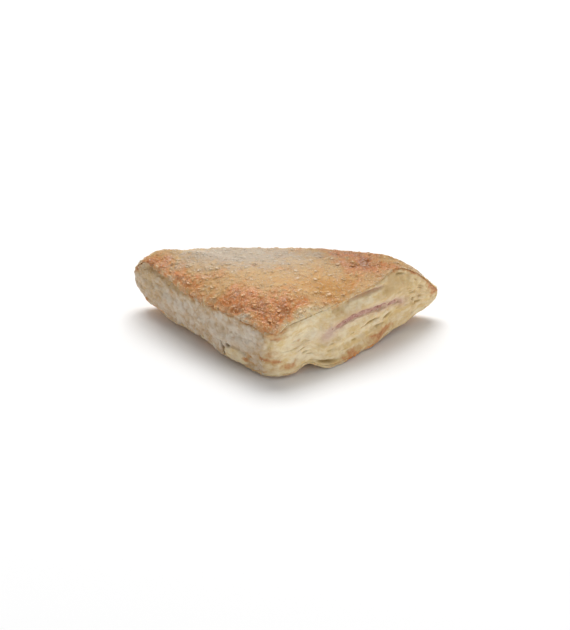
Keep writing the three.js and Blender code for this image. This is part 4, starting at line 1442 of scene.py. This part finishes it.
def sugared_layers():
    """The cut layers with their relief, and how much sugar they carry."""
    layers = layers_piece()
    layers.data = grown(layers, "cut_layers", LAYER_RELIEF, granular)
    rest_on_floor(layers.data)
    coated, white = (values_of(layers.data, name) for name in ("coated", "white"))
    add_values(layers.data, "sugar", coated * 0.35 + 0.5 * white)
    return layers


for make_material in (crust_material, layers_material, jam_material, sugar_material):
    make_material()
crust_material("sugar_lumps", softness=0.0, milky=0.26)

places = sugar_places()
crust = sugared_crust(places)
crust_sugar = strewn("sugar_on_crust", crust, "sugar_lumps", CRUST_CRYSTALS)
layers = sugared_layers()
layer_sugar = strewn("sugar_on_cut_faces", layers, "sugar", CUT_FACE_CRYSTALS)
jam = jam_piece()
lumps = sugar_lumps(places)

settle(crust, "pastry_crust")
settle(layers, "cut_layers")
settle(crust_sugar, "sugar_lumps")
settle(layer_sugar, "sugar")
settle(lumps, "sugar_lumps")
settle(jam, "jam_flesh")
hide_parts("pastry")
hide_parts("jam_filling")

# ---- Floor, light and camera, in metres ----

FLOOR_HALF = 3.0
FLOOR_WHITE = (0.96, 0.96, 0.96, 1)
SKY_STRENGTH = 0.38
# Soft boxes: place, size and power in watts.
SOFT_BOXES = {
    "high_behind": ((-0.3, 1.55, 2.38), (2.0, 1.5), 75.0),
    "low_right": ((1.0, -0.5, 0.16), (0.5, 0.3), 3.0),
}
LIGHTS_AIM = (0, 0, 0.02)
CAMERA = {"elevation": 27.0, "azimuth": 4.6, "distance": 0.7, "aim": (-0.0009, 0.0367, 0.0018)}
FRAME_LONG_SIDE = 630  # pixels
FOCAL_PIXELS = 1311
PRINCIPAL_POINT = (1.5, 9.7)  # pixels left of and above the middle of the frame


def floor():
    corners = [(-FLOOR_HALF, -FLOOR_HALF, 0), (FLOOR_HALF, -FLOOR_HALF, 0),
               (FLOOR_HALF, FLOOR_HALF, 0), (-FLOOR_HALF, FLOOR_HALF, 0)]
    made = piece_from("floor", corners, [(0, 1, 2, 3)])
    shader = fresh_material("floor", 0.9)[1]
    shader.inputs["Base Color"].default_value = FLOOR_WHITE
    made.data.materials.append(bpy.data.materials["floor"])


def soft_box(name, at, size, power):
    data = bpy.data.lights.new(name, "AREA")
    data.shape = "RECTANGLE"
    data.size, data.size_y = size
    data.energy = power
    lamp = bpy.data.objects.new(name, data)
    lamp.location = at
    lamp.rotation_euler = (Vector(LIGHTS_AIM) - Vector(at)).to_track_quat("-Z", "Y").to_euler()
    bpy.context.scene.collection.objects.link(lamp)


def studio():
    world = bpy.data.worlds.new("studio")
    world.use_nodes = True
    backdrop = world.node_tree.nodes["Background"]
    backdrop.inputs["Color"].default_value = (1, 1, 1, 1)
    backdrop.inputs["Strength"].default_value = SKY_STRENGTH
    bpy.context.scene.world = world
    for name, box in SOFT_BOXES.items():
        soft_box(name, *box)
    bpy.context.scene.view_settings.view_transform = "Standard"


def camera():
    data = bpy.data.cameras.new("camera")
    data.lens = data.sensor_width * FOCAL_PIXELS / FRAME_LONG_SIDE
    data.shift_x = PRINCIPAL_POINT[0] / FRAME_LONG_SIDE
    data.shift_y = -PRINCIPAL_POINT[1] / FRAME_LONG_SIDE
    made = bpy.data.objects.new("camera", data)
    height, turn = math.radians(CAMERA["elevation"]), math.radians(CAMERA["azimuth"])
    away = Vector((math.sin(turn) * math.cos(height), -math.cos(turn) * math.cos(height), math.sin(height)))
    made.location = Vector(CAMERA["aim"]) + away * CAMERA["distance"]
    made.rotation_euler = (-away).to_track_quat("-Z", "Y").to_euler()
    bpy.context.scene.collection.objects.link(made)
    bpy.context.scene.camera = made


floor()
studio()
camera()
